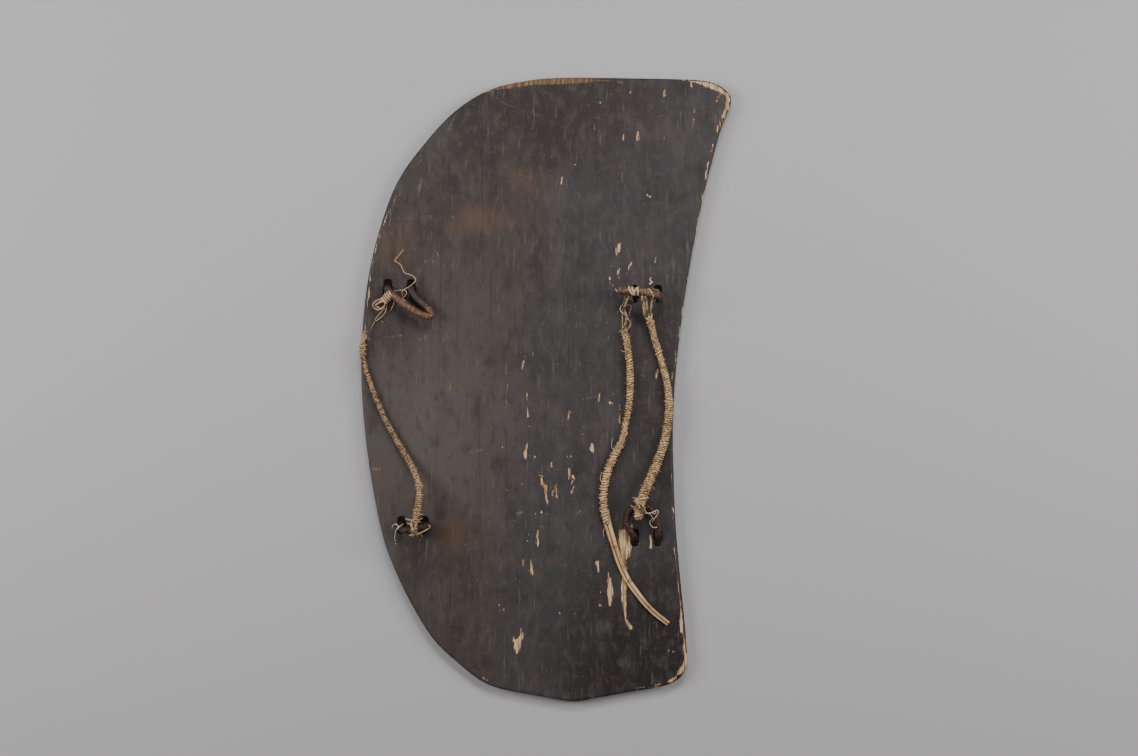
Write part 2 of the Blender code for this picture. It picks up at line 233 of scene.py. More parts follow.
def close_ends(mesh):
    """Fills the two open ends of a tube."""
    tube = bmesh.new()
    tube.from_mesh(mesh)
    bmesh.ops.holes_fill(tube, edges=[e for e in tube.edges if e.is_boundary])
    bmesh.ops.recalc_face_normals(tube, faces=tube.faces)
    tube.to_mesh(mesh)
    tube.free()


# %% [markdown]
# Most of the cane is bound with a split strip that winds round it. The helper below presses
# the line between the turns into a tube and lifts some turns above others. It also writes
# an attribute that unrolls the strip: metres along it, metres across it, and a number that
# changes from turn to turn. The materials read it, so that fibres run round with the strip.


# %% Winding
def wind(mesh, path, sides, pitch, closed=False, groove=0.10, uneven=0.06, seed=0.0,
         lively=0.83, strips=1):
    """Winds strips of the given pitch round a tube; the more strips, the steeper they run."""
    marks = marks_along(path + [path[0]] if closed else path)
    turns = [0.0]
    for a, b in zip(marks, marks[1:]):
        swell = 1.0 + 0.45 * wobble(a * 90.0, seed)
        turns.append(turns[-1] + (b - a) / (pitch * swell))
    if closed:
        whole = round(turns[-1]) / turns[-1]
        turns = [t * whole for t in turns]
    mesh.attributes.new("winding", "FLOAT_VECTOR", "POINT")
    mesh.attributes.new("groove", "FLOAT", "POINT")
    unrolled, groove_and_shade_layer = mesh.attributes["winding"], mesh.attributes["groove"]
    for index, vertex in enumerate(mesh.vertices):
        ring, side = divmod(index, sides)
        offset = vertex.co - path[ring]
        radius = offset.length
        place = turns[ring] - strips * side / sides
        strip = math.floor(place)
        across = place - strip
        along = strip + side / sides
        edge = abs(across * 2.0 - 1.0)
        shade = wobble(along * lively, seed + 3.7, 0.5)
        turn_lift = wobble(strip * 0.71, seed + 5.2, 1.5)
        share = 1.0 - groove * edge ** 3 - uneven * (0.5 - turn_lift)
        vertex.co = path[ring] + offset * share
        unrolled.data[index].vector = (along * math.tau * radius, across * pitch, shade)
        # Painted shade: the sides and underside of the cane are marked darker the further they lie below its
        # middle
        flank_shade = max(0.0, min(1.0, 0.9 - offset.z / radius)) ** 2
        groove_and_shade_layer.data[index].value = max(edge ** 3, flank_shade) if groove > 0 else -1.0
    return turns[-1]


# %% [markdown]
# The three straps come first. Each is a bundle of thin canes bound round with split cane,
# stiff enough to keep its bend by itself. Each has a loose end, or hangs only by thin ties.

# %% Strap routes: X, Y and lift above the back
STRAP_ROUTES = {
    "strap_left": [
        (-0.2915, 0.080, 0.0070), (-0.2925, 0.066, 0.0068), (-0.2925, 0.052, 0.0068),
        (-0.2883, 0.034, 0.0068), (-0.2811, 0.012, 0.0068), (-0.2739, -0.008, 0.0068),
        (-0.2643, -0.031, 0.0068), (-0.2531, -0.055, 0.0068), (-0.2331, -0.090, 0.0075),
        (-0.2163, -0.118, 0.0125), (-0.2056, -0.139, 0.0190), (-0.2000, -0.157, 0.0265),
        (-0.2000, -0.174, 0.0335), (-0.2030, -0.192, 0.0395), (-0.2055, -0.206, 0.0430),
        (-0.2070, -0.222, 0.0445), (-0.2078, -0.231, 0.0450),
    ],
    "strap_right_inner": [
        (0.1245, 0.094, 0.0068), (0.1272, 0.084, 0.0068), (0.1302, 0.065, 0.0068),
        (0.1333, 0.038, 0.0068), (0.1341, 0.012, 0.0068), (0.1333, -0.014, 0.0068),
        (0.1302, -0.038, 0.0068), (0.1261, -0.058, 0.0068), (0.1205, -0.082, 0.0068),
        (0.1100, -0.103, 0.0068), (0.1005, -0.124, 0.0068), (0.0941, -0.146, 0.0068),
        (0.0912, -0.170, 0.0068), (0.0928, -0.193, 0.0068), (0.0973, -0.215, 0.0068),
        (0.1053, -0.242, 0.0068), (0.1165, -0.276, 0.0068), (0.1293, -0.304, 0.0068),
        (0.1478, -0.330, 0.0068), (0.1677, -0.353, 0.0068), (0.1949, -0.375, 0.0068),
    ],
    "strap_right_outer": [
        (0.1632, 0.116, 0.0180), (0.1680, 0.101, 0.0130), (0.1741, 0.077, 0.0090),
        (0.1805, 0.057, 0.0084), (0.1868, 0.034, 0.0083), (0.1925, 0.012, 0.0083),
        (0.1955, -0.013, 0.0083), (0.1955, -0.038, 0.0083), (0.1925, -0.064, 0.0083),
        (0.1868, -0.090, 0.0085), (0.1789, -0.111, 0.0110), (0.1702, -0.132, 0.0160),
        (0.1598, -0.154, 0.0225), (0.1510, -0.176, 0.0270), (0.1462, -0.195, 0.0282),
        (0.1455, -0.204, 0.0284),
    ],
}
STRAP_CANES = {"strap_left": 0.013, "strap_right_inner": 0.013, "strap_right_outer": 0.016}


def lifted(route, middle=(0.0, 0.0)):
    """Route points as places over the back face, from the board's middle or a loop's."""
    return [Vector((x + middle[0], y + middle[1], BACK_Z + lift)) for x, y, lift in route]


# %% Bound straps
STRAP_SIDES = 24
BINDING_STEP = 0.0006
# The Y below which the inner strap has no binding left
BARE_FROM = {"strap_right_inner": -0.214}
# Share of the bound length from its upper end, and the radius there in millimetres
STRAP_SWELL = {
    "strap_left": (
        (0.0, 4.4), (0.05, 5.0), (0.12, 4.0), (0.35, 4.9), (0.72, 5.8), (0.78, 6.6), (0.90, 6.5), (1.0, 5.4)),
    "strap_right_inner": (
        (0.0, 4.6), (0.05, 6.0), (0.25, 6.6), (0.38, 6.2), (0.46, 4.4), (0.52, 4.5), (0.58, 6.0), (0.95, 6.4),
        (1.0, 5.8)),
    "strap_right_outer": (
        (0.0, 5.2), (0.05, 5.8), (0.22, 6.0), (0.45, 7.2), (0.72, 8.3), (0.93, 8.7), (1.0, 7.0)),
}
ROUNDED_END = 0.004


def strap_radii(name, path):
    """The strap's radius at each point of its path, with a rounded end."""
    marks = marks_along(path)
    radii = []
    for mark in marks:
        share = mark / marks[-1]
        for (s0, r0), (s1, r1) in zip(STRAP_SWELL[name], STRAP_SWELL[name][1:]):
            if share <= s1 + 1e-9:
                radius = r0 + (r1 - r0) * max(0.0, (share - s0) / (s1 - s0))
                break
        swell = 1.0 + 0.035 * wobble(mark * 55.0, radius)
        to_end = min(1.0, min(mark, marks[-1] - mark) / ROUNDED_END)
        radii.append(radius * MM * swell * max(0.35, math.sqrt(1.0 - (1.0 - to_end) ** 2)))
    return radii


STRAP_PITCHES = {"strap_left": 0.0036, "strap_right_inner": 0.0042, "strap_right_outer": 0.0036}
STRAP_STRIPS = {"strap_left": 1, "strap_right_inner": 2, "strap_right_outer": 2}
straps = {}
strap_shapes = {}
for name, route in STRAP_ROUTES.items():
    path = even_path(lifted(route), BINDING_STEP)
    if name in BARE_FROM:
        path = [p for p in path if p.y >= BARE_FROM[name]]
    radii = strap_radii(name, path)
    for place, radius in zip(path, radii):
        place.z -= STRAP_CANES[name] / 2 - min(radius, STRAP_CANES[name] / 2)
    mesh = cane_mesh(name, path, radii, STRAP_SIDES)
    turns = wind(mesh, path, STRAP_SIDES, STRAP_PITCHES[name], groove=0.24, uneven=0.12,
                 seed=len(straps) * 5.0, lively=2.3, strips=STRAP_STRIPS[name])
    close_ends(mesh)
    strap_shapes[name] = (path, radii)
    straps[name] = show(name + "_bound", mesh)
    print(name, "turns:", round(turns), "length:", round(marks_along(path)[-1], 3))

# %% [markdown]
# The lower end of the inner strap has lost its binding. Two bare canes go on from there,
# side by side on the board, and run together into a narrower end. They are joined to the
# bound part, because they are the core that the whole strap is made on.


# %% Bare canes of the inner strap
def join(name, items):
    """Makes one piece of several, keeping their attributes."""
    for item in bpy.context.selected_objects:
        item.select_set(False)
    for item in items:
        item.select_set(True)
    bpy.context.view_layer.objects.active = items[0]
    bpy.ops.object.join()
    items[0].name = name
    return items[0]


BARE_CANE = 0.0062
BARE_CANE_WIDTHS = {-1: 1.12, 1: 0.80}
BARE_GAP = 0.0004
# The canes start inside the binding, a little above its end
CANES_FROM = -0.190
TAPER = 0.35
bare_route = [p for p in STRAP_ROUTES["strap_right_inner"] if p[1] < CANES_FROM]
bare_middle = even_path([(x, y, BACK_Z + BARE_CANE / 2 + BARE_GAP) for x, y, lift in bare_route], 0.003)
bare_canes = []
for side, wide in BARE_CANE_WIDTHS.items():
    path = []
    for index, place in enumerate(bare_middle):
        aside = way_at(bare_middle, index).cross(Vector((0.0, 0.0, 1.0))).normalized()
        share = index / (len(bare_middle) - 1)
        path.append(place + aside * (side * (BARE_CANE / 2 + 0.0003) - 0.0006) * (1.0 - TAPER * share))
    radii = [BARE_CANE / 2 * wide * (1.0 - TAPER * k / (len(path) - 1)) for k in range(len(path))]
    mesh = cane_mesh("bare_cane", path, radii, 12)
    wind(mesh, path, 12, 0.05, groove=0.0, uneven=0.05, seed=side * 2.0)
    close_ends(mesh)
    bare_canes.append(show("bare_cane", mesh))
straps["strap_right_inner"] = join("strap_right_inner_bound", [straps["strap_right_inner"]] + bare_canes)
print("bare canes:", len(bare_canes), "of", round(marks_along(bare_middle)[-1], 3), "m")

# %% [markdown]
# The bindings are mended in places with thicker turns that stand proud of the rest, and
# some turns cross each other. Each is a closed ring round the strap, tilted so that it still
# hugs it. Torn fibres stand out all along as short hairs, too fine to be laid one by one.


# %% Single turns
def frame_on(path, at):
    """A place on a path, and the directions ahead, up and aside there."""
    ahead = way_at(path, at).normalized()
    up = upright_to(ahead)
    return path[at], ahead, up, ahead.cross(up)


def single_turn(name, frame_there, reach, radius, tilt, lean=0.0):
    """A closed ring of thin cane round a path, its plane tilted by angles in degrees."""
    place, ahead, up, aside = frame_there
    slopes = math.tan(math.radians(tilt)), math.tan(math.radians(lean))
    ring = []
    for index in range(16):
        c, s = math.cos(math.tau * index / 16), math.sin(math.tau * index / 16)
        ring.append(place + (aside * c + up * s + ahead * (slopes[0] * c + slopes[1] * s)) * reach)
    path = even_path(ring, CANE_STEP, closed=True)
    mesh = cane_mesh(name, path, [radius] * len(path), 8, closed=True)
    wind(mesh, path, 8, SINGLE_PITCH, closed=True, groove=0.0, seed=place.y * 900.0, lively=1.9)
    return show(name, mesh)


# %% Mended turns and torn fibres of the straps
# Share of the bound length, tilt and lean in degrees, radius of the cane in millimetres
STRAP_TURNS = {
    "strap_left": [
        (0.030, 20, 8, 1.0), (0.041, -14, 0, 1.1), (0.052, 10, -8, 1.0), (0.064, -18, 0, 1.1),
        (0.080, 24, 0, 0.8), (0.880, 6, 0, 0.9), (0.760, -9, 0, 0.9),
    ],
    "strap_right_inner": [
        (0.010, 34, 0, 0.9), (0.016, -38, 0, 0.9), (0.455, 44, 0, 0.8), (0.462, -40, 0, 0.8),
        (0.476, 50, 0, 0.8), (0.488, -36, 0, 0.9), (0.505, 46, 0, 0.8), (0.520, -30, 0, 0.8),
    ],
    "strap_right_outer": [
        (0.012, 42, 0, 1.1), (0.016, -44, 0, 1.1), (0.034, 24, 0, 1.0), (0.180, 16, 0, 0.8),
        (0.420, -14, 0, 0.8), (0.905, 30, 0, 1.1), (0.930, -26, 0, 1.1), (0.955, 12, 0, 1.1),
    ],
}
# The lower half of the inner strap is bound loosely, with one coarse turn after another
COARSE_TILTS, COARSE_LEANS = (14, -6, 9, -12, 4), (0, 9, -8)
for k in range(18):
    coarse_turn = (0.595 + 0.0212 * k, COARSE_TILTS[k % 5], COARSE_LEANS[k % 3], 0.85)
    STRAP_TURNS["strap_right_inner"].append(coarse_turn)
HAIRS = {"strap_left": 45, "strap_right_inner": 95, "strap_right_outer": 50}
HAIR_RADII = (0.00032, 0.00026, 0.00014)
chance = random.Random(5)
for name, rows in STRAP_TURNS.items():
    path, radii = strap_shapes[name]
    extras = []
    for share, tilt, lean, radius in rows:
        at = round(share * (len(path) - 1))
        reach = radii[at] + radius * 0.0003
        extras.append(single_turn(name, frame_on(path, at), reach, radius * MM, tilt, lean))
    for index in range(HAIRS[name]):
        at = chance.randrange(8, len(path) - 8)
        place, ahead, up, aside = frame_on(path, at)
        angle = chance.uniform(-0.2, math.pi + 0.2)
        out = aside * math.cos(angle) + up * math.sin(angle)
        way = (ahead * chance.uniform(-1.2, 1.2) + out * chance.uniform(0.4, 1.0)).normalized()
        root, reach = place + out * radii[at] * 0.9, chance.uniform(0.0018, 0.0036)
        hair = [root, root + way * reach * 0.5 + out * 0.0004, root + way * reach]
        mesh = cane_mesh("hair", hair, HAIR_RADII, 4)
        wind(mesh, hair, 4, SINGLE_PITCH, groove=0.0, uneven=0.0, seed=index * 1.3)
        extras.append(show("hair", mesh))
    straps[name] = join(name + "_bound", [straps[name]] + extras)
    print(name, "single turns:", len(rows), "hairs:", HAIRS[name])


# %% Straps put in place of their solids
def dress(piece, slot, node=None):
    """Says what a finished piece rides on, which solid it replaces and whose finish it has."""
    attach(piece, "root")
    if node:
        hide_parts(node)
    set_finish(piece, slot)


for name, strap in straps.items():
    path = even_path(lifted(STRAP_ROUTES[name]), 0.005)
    dress(strap, "strap_cane", name)

# %% [markdown]
# Each loop is a ring of cane. Its free part bends over the back, its two legs go down
# through the slots, and a short stitch joins them on the front, worn flat there. The loop
# is bound as tightly as the straps, but with a redder cane, smooth from handling.

# %% Loop routes
LOOP_MIDDLES = {
    "loop_upper_left": (-0.2348, 0.162), "loop_upper_right": (0.1605, 0.153),
    "loop_lower_left": (-0.2133, -0.217), "loop_lower_right": (0.1604, -0.237),
}
LOOP_BENDS = {
    "loop_upper_left": [
        (-0.0185, -0.001, 0.005), (-0.0130, -0.007, 0.012), (0.0000, -0.019, 0.020),
        (0.0215, -0.034, 0.025), (0.0420, -0.045, 0.024), (0.0520, -0.043, 0.019),
        (0.0460, -0.032, 0.013), (0.0320, -0.020, 0.0095), (0.0220, -0.009, 0.0085),
        (0.0185, -0.001, 0.004),
    ],
    "loop_upper_right": [
        (-0.0190, 0.000, 0.005), (-0.0240, 0.001, 0.013), (-0.0370, 0.003, 0.021),
        (-0.0420, 0.004, 0.032), (-0.0310, 0.003, 0.042), (-0.0080, 0.001, 0.046),
        (0.0100, -0.002, 0.043), (0.0190, -0.004, 0.032), (0.0200, -0.003, 0.017),
        (0.0185, 0.000, 0.005),
    ],
    "loop_lower_left": [
        (-0.0185, 0.000, 0.004), (-0.0190, -0.003, 0.013), (-0.0150, -0.005, 0.023),
        (-0.0060, -0.005, 0.030), (0.0060, -0.003, 0.031), (0.0170, -0.001, 0.028),
        (0.0230, 0.001, 0.019), (0.0210, 0.001, 0.010), (0.0185, 0.000, 0.004),
    ],
    "loop_lower_right": [
        (-0.0185, 0.001, 0.004), (-0.0250, 0.009, 0.0095), (-0.0320, 0.023, 0.0120),
        (-0.0290, 0.041, 0.0128), (-0.0190, 0.051, 0.0130), (-0.0060, 0.053, 0.0130),
        (0.0060, 0.046, 0.0128), (0.0140, 0.033, 0.0120), (0.0180, 0.018, 0.0105),
        (0.0185, 0.008, 0.0075), (0.0185, 0.001, 0.003),
    ],
}
LOOP_CANE = 0.012
LOOP_PITCH = 0.0036
SLOT_CANE = 0.0104
STITCH_RADIUS = 0.00415
STITCH_Z = 0.00335
HALF_SPACING = 0.0185


def loop_keys(name):
    """A closed loop's chosen points: free bend on the back, down both slots, front stitch."""
    middle = LOOP_MIDDLES[name]
    board_middle = (FRONT_Z + BACK_Z) / 2
    keys = lifted(LOOP_BENDS[name], middle)
    for share, height in ((1.0, board_middle), (0.95, FRONT_Z - 0.001), (0.66, STITCH_Z), (0.0, STITCH_Z),
                          (-0.66, STITCH_Z), (-0.95, FRONT_Z - 0.001), (-1.0, board_middle)):
        keys.append(Vector((middle[0] + HALF_SPACING * share, middle[1], height)))
    return keys


def loop_radius(height):
    """The cane is full above the board, slimmer in the slots, slimmest in the stitch."""
    stops = [(0.0, STITCH_RADIUS), (FRONT_Z - 0.001, STITCH_RADIUS),
             ((FRONT_Z + BACK_Z) / 2, SLOT_CANE / 2), (BACK_Z, SLOT_CANE / 2),
             (BACK_Z + 0.006, LOOP_CANE / 2)]
    for (z0, r0), (z1, r1) in zip(stops, stops[1:]):
        if height < z1:
            return r0 + (r1 - r0) * max(0.0, (height - z0) / (z1 - z0))
    return LOOP_CANE / 2


# %% Bound loops
LOOP_SIDES = 24
loops = {}
for name in LOOP_MIDDLES:
    path = even_path(loop_keys(name), BINDING_STEP, closed=True)
    mesh = cane_mesh(name, path, [loop_radius(p.z) for p in path], LOOP_SIDES, closed=True)
    turns = wind(mesh, path, LOOP_SIDES, LOOP_PITCH, closed=True, groove=0.09,
                 seed=20.0 + len(loops) * 7.0, lively=1.4)
    for vertex in mesh.vertices:
        vertex.co.z = max(vertex.co.z, 0.0)
    loops[name] = show(name + "_bound", mesh)
    dress(loops[name], "loop_cane", name)
    print(name, "turns:", round(turns), "points:", len(mesh.vertices))

# %% [markdown]
# The strands, the thin tie and the lashings are single split canes. The strands come up from
# the end of the outer strap and hook round under the upper right loop, and the lashings go
# round a loop and a strap where the two cross.


# %% Strands to the upper right loop
HOOK_GAP = 0.0008


def hook_round(path, across, cane):
    """Points round under a loop's bend, at the crossing nearest to the given X."""
    top = max(range(len(path)), key=lambda k: (path[k].z > BACK_Z + LOOP_CANE, -abs(path[k].x - across)))
    ahead = (path[(top + 1) % len(path)] - path[top - 1]).normalized()
    if ahead.x < 0:
        ahead = -ahead
    up = upright_to(ahead)
    north = up.cross(ahead)
    reach = (LOOP_CANE + cane) / 2 + HOOK_GAP
    turn = [math.radians(a) for a in range(205, 300, 31)]
    return [path[top] + north * (reach * math.cos(a)) + up * (reach * math.sin(a)) for a in turn]


STRAND_CANE = 0.0045
STRAND_GAP = 0.0015
STRAND_WIDTHS = {"strand_left": 1.25, "strand_right": 0.85}
INNER_TIE_CANE = 0.004
# How far aside each strand starts on the strap's end, and where it crosses the loop in X
STRANDS = {
    "strand_left": (-0.0050, -0.0070), "strand_middle": (0.0002, 0.0010), "strand_right": (0.0050, 0.0105),
}
upper_right_path = even_path(loop_keys("loop_upper_right"), 0.006, closed=True)
strap_end, strap_before = lifted(STRAP_ROUTES["strap_right_outer"][:2])
onward = (strap_end - strap_before).normalized()
sideways = onward.cross(Vector((0.0, 0.0, 1.0))).normalized()
strand_keys = {}
for name, (aside, crossing) in STRANDS.items():
    root = strap_end + onward * STRAND_GAP + sideways * aside
    strand_keys[name] = [root, root + onward * STRAND_CANE] + hook_round(
        upper_right_path, LOOP_MIDDLES["loop_upper_right"][0] + crossing, STRAND_CANE)
strand_keys["inner_strap_tie"] = lifted(
    [(-0.0350, -0.0560, 0.0090), (-0.0330, -0.0480, 0.0115), (-0.0330, -0.0380, 0.0165),
     (-0.0365, -0.0270, 0.0240), (-0.0345, -0.0170, 0.0320)], LOOP_MIDDLES["loop_upper_right"])
strand_keys["inner_strap_tie"] += hook_round(
    upper_right_path, LOOP_MIDDLES["loop_upper_right"][0] - 0.0300, INNER_TIE_CANE)

for name, keys in strand_keys.items():
    cane = INNER_TIE_CANE if name == "inner_strap_tie" else STRAND_CANE
    path = even_path(keys, CANE_STEP)
    wide = STRAND_WIDTHS.get(name, 1.0)
    radii = [cane / 2 * wide * (0.93 + 0.06 * noise.noise(p * 300.0)) for p in path]
    mesh = cane_mesh(name, path, radii, 12)
    wind(mesh, path, 12, SINGLE_PITCH, groove=0.12, uneven=0.05, seed=len(name) * 1.0)
    close_ends(mesh)
    dress(show(name + "_cane", mesh), "strap_cane", name)
print("strands:", ", ".join(strand_keys))

# %% Turns round the upper right loop
# Where each turn crosses the loop in X, its tilt in degrees and its radius in millimetres
BAR_TURNS = [(0.1340, 28, 1.5), (0.1378, 24, 1.4), (0.1412, -30, 1.5), (0.1450, 3, 1.4), (0.1655, 40, 0.7)]
BAR_LIFT = 0.030
bar_path = even_path(loop_keys("loop_upper_right"), BINDING_STEP, closed=True)
on_bar = [k for k, p in enumerate(bar_path) if p.z > BACK_Z + BAR_LIFT]
bar_turns = []
for across, tilt, radius in BAR_TURNS:
    at = min(on_bar, key=lambda k: abs(bar_path[k].x - across))
    reach = LOOP_CANE / 2 + 0.0002
    bar_turns.append(single_turn("turn", frame_on(bar_path, at), reach, radius * MM, tilt))
dress(join("upper_right_wraps", bar_turns), "strap_cane")
print("turns round the loop:", len(BAR_TURNS))

# %% Lashings of the lower loops
LASHING_CANE = 0.0035
LASHING_GAP = 0.0012
NEXT_TURN_IN = 0.0006
# Where the strap crosses, how thick it is there, and where the loop passes under it
LASHINGS = {
    "tie_lower_left": ((-0.2069, -0.2210, 0.0652), 0.013, (-0.2093, -0.2204, 0.0519)),
    "tie_lower_right": ((0.1482, -0.1857, 0.0486), 0.016, (0.1468, -0.1841, 0.0338)),
}
# Slant of each turn in degrees and how far it is shifted in X and Y in millimetres
LASHING_TURNS = {
    "tie_lower_left": ((62, 0.0, 0.0), (86, -2.6, 2.0), (95, 2.2, 2.0)),
    "tie_lower_right": ((60, 0.0, 0.0), (74, -1.0, 0.0), (44, 0.6, 0.0)),
}


def lashing_keys(above, strap_cane, below, slant, spare=0.0):
    """One closed turn over a strap and under a loop, in an upright plane along slant."""
    room = LASHING_CANE / 2 + LASHING_GAP + spare
    strap_high, loop_high = strap_cane / 2 + room, LOOP_CANE / 2 + room
    wide = strap_cane / 2 * 1.35 + room
    narrow = LOOP_CANE / 2 * 1.55 + room
    shoulder = math.sqrt(0.5)
    side = [(0.0, above[2] + strap_high), (wide * shoulder, above[2] + strap_high * shoulder),
            (wide, above[2]), (narrow, below[2]),
            (narrow * shoulder, below[2] - loop_high * shoulder), (0.0, below[2] - loop_high)]
    turn = side + [(-across, z) for across, z in reversed(side[1:-1])]
    c, s = math.cos(slant), math.sin(slant)
    return [(above[0] + across * c, below[1] - across * s, z) for across, z in turn]


for name, (above, strap_cane, below) in LASHINGS.items():
    turns = []
    for index, (degrees, *shift) in enumerate(LASHING_TURNS[name]):
        keys = lashing_keys(above, strap_cane, below, math.radians(degrees), spare=-NEXT_TURN_IN * index)
        keys = [(x + shift[0] * MM, y + shift[1] * MM, z) for x, y, z in keys]
        path = even_path(keys, 0.0015, closed=True)
        mesh = cane_mesh(name, path, [LASHING_CANE / 2] * len(path), 10, closed=True)
        wind(mesh, path, 10, SINGLE_PITCH, closed=True, uneven=0.05, seed=index * 3.0)
        turns.append(show(name, mesh))
    dress(join(name + "_turns", turns), "strap_cane", name)
    print(name, "turns:", len(turns))

# %% Coil of old binding
REMNANT_ROUTE = [(-0.2455, 0.1530, 0.0150), (-0.2500, 0.1490, 0.0140), (-0.2548, 0.1440, 0.0125),
                 (-0.2592, 0.1385, 0.0110)]
COIL_CANE = 0.0031
COIL_TURNS = 5.2
COIL_RADIUS = 0.0062
remnant_line = even_path(lifted(REMNANT_ROUTE), 0.0002)
ahead = (remnant_line[-1] - remnant_line[0]).normalized()
upward = upright_to(ahead)
aside = ahead.cross(upward)
coil_path = []
for index, place in enumerate(remnant_line):
    share = index / (len(remnant_line) - 1)
    angle = math.tau * COIL_TURNS * share
    reach = COIL_RADIUS + 0.0014 * wobble(share * 9.0, 3.0)
    coil_path.append(place + upward * (reach * math.sin(angle)) + aside * (reach * math.cos(angle)))
coil_path = even_path(coil_path[::5] + [coil_path[-1]], 0.0010)
mesh = cane_mesh("binding_remnant", coil_path, [COIL_CANE / 2] * len(coil_path), 8)
wind(mesh, coil_path, 8, SINGLE_PITCH, groove=0.0, uneven=0.08, seed=4.0, lively=1.9)
close_ends(mesh)
coil = show("binding_remnant_coil", mesh)
print("coil of", round(marks_along(coil_path)[-1], 3), "m")

# %% [markdown]
# Old split cane frays, so thin fibres stand out wherever a binding ends: curls at the upper
# left loop, twigs at the lower left one, crossing strands at the right. Each fibre is a thin
# cane along a few places in millimetres over the middle of the back, after its radius.


# %% Loose fibres
def fibre_set(name, rows, sides=6):
    """Thin canes along the given places, thinner at their ends, as one piece."""
    items = []
    for radius, places in rows:
        path = even_path(lifted([(x * MM, y * MM, z * MM) for x, y, z in places]), CANE_STEP)
        last = len(path) - 1
        radii = []
        for index, place in enumerate(path):
            to_end = min(1.0, 6.0 * min(index, last - index) / last)
            radii.append(radius * MM * (0.82 + 0.3 * noise.noise(place * 260.0)) * (0.6 + 0.4 * to_end))
        mesh = cane_mesh(name, path, radii, sides)
        wind(mesh, path, sides, SINGLE_PITCH, groove=0.0, uneven=0.08, seed=places[0][0] * 0.37,
             lively=1.9)
        close_ends(mesh)
        items.append(show(name, mesh))
    return join(name, items)


UPPER_LEFT_FIBRES = [
    (0.9, [(-227.5, 148, 19), (-228.3, 156, 22), (-224.3, 159.2, 21), (-216.3, 164.8, 16),
          (-209.9, 170.4, 12), (-208, 175.2, 10), (-210.7, 180, 9), (-217.9, 183.5, 8),
          (-225.9, 186.4, 7), (-229.1, 192, 6), (-232.3, 199.2, 5.5), (-237.9, 203.2, 5),
          (-241.9, 205.6, 5), (-237.1, 212, 6), (-227.5, 223.2, 8)]),
    (0.8, [(-226.7, 159.2, 21), (-221.9, 156, 23), (-221.1, 152.8, 24), (-224.3, 148, 22),
          (-230.7, 144.2, 19)]),
    (0.75, [(-243.5, 156, 12), (-241.1, 151.2, 17), (-240.3, 144.8, 18), (-242.7, 136.8, 13),
          (-248.3, 125.6, 6)]),
    (0.75, [(-243.5, 156, 12), (-235.5, 157.6, 20), (-226.7, 158.2, 21)]),
    (0.8, [(-235.5, 145.6, 19), (-228.3, 143.8, 24), (-221.1, 140, 27)]),
    (0.9, [(-256.3, 138.4, 11), (-254.7, 128.8, 9), (-259.5, 119.2, 6), (-269.1, 111.2, 3),
          (-274.7, 108.8, 2)]),
    (0.8, [(-257.1, 130.4, 9), (-265.9, 120.8, 6), (-273.9, 111.2, 3)]),
    (0.6, [(-273.9, 109.6, 2.2), (-277.9, 101.6, 1.6), (-280.3, 95.2, 1.2)]),
    (0.6, [(-264.3, 109.6, 2), (-259.5, 106.4, 1.5)]),
]
UPPER_LEFT_CURLS = [
    (1.8, [(-253.1, 143.2, 9), (-262.7, 144, 15), (-273.1, 139.2, 13), (-275.5, 132, 9),
          (-267.5, 127.5, 8), (-257.9, 132.8, 12), (-257.1, 140, 16), (-265.1, 138.1, 17),
          (-271, 133.6, 13), (-264.3, 129.4, 10), (-256.3, 128, 8)]),
]
LOWER_LEFT_FIBRES = [
    (1.1, [(-221.1, -202.7, 45), (-213.9, -204.3, 50), (-205.8, -205.6, 51)]),
    (1, [(-217.9, -209.6, 46), (-213.1, -210.7, 50), (-208.3, -211, 51)]),
    (1.1, [(-201.9, -197.3, 48), (-197.1, -196.3, 47), (-192.6, -195.5, 45)]),
    (0.9, [(-201.1, -205.6, 50), (-197.1, -203.8, 48), (-193.4, -201.4, 46)]),
    (0.9, [(-203.5, -207.2, 51), (-199.5, -207.5, 48), (-195.5, -208.5, 46)]),
    (1.3, [(-214.7, -228.6, 47), (-208.3, -228, 50), (-200.8, -226.4, 49), (-193.9, -223.8, 43),
          (-188.5, -221, 39), (-183.7, -218.1, 37), (-182.9, -214.9, 36), (-185.3, -213.3, 36)]),
    (0.6, [(-197.8, -225.8, 44), (-195, -231.7, 38), (-197.4, -235.7, 34), (-200.8, -238.2, 32)]),
]
LOWER_LEFT_STRINGS = [
    (1.1, [(-225.3, -212.5, 26), (-231, -216.2, 36), (-236.6, -221.9, 30), (-239.5, -229.3, 17),
          (-241.6, -238.2, 6), (-241.1, -242.4, 2.5)]),
    (0.85, [(-245.6, -224.3, 4), (-244.8, -218.1, 10), (-240, -213.6, 18), (-235, -215.2, 24),
          (-233, -220, 30)]),
    (0.8, [(-241, -245, 1.8), (-239.7, -248.2, 1.4)]),
]
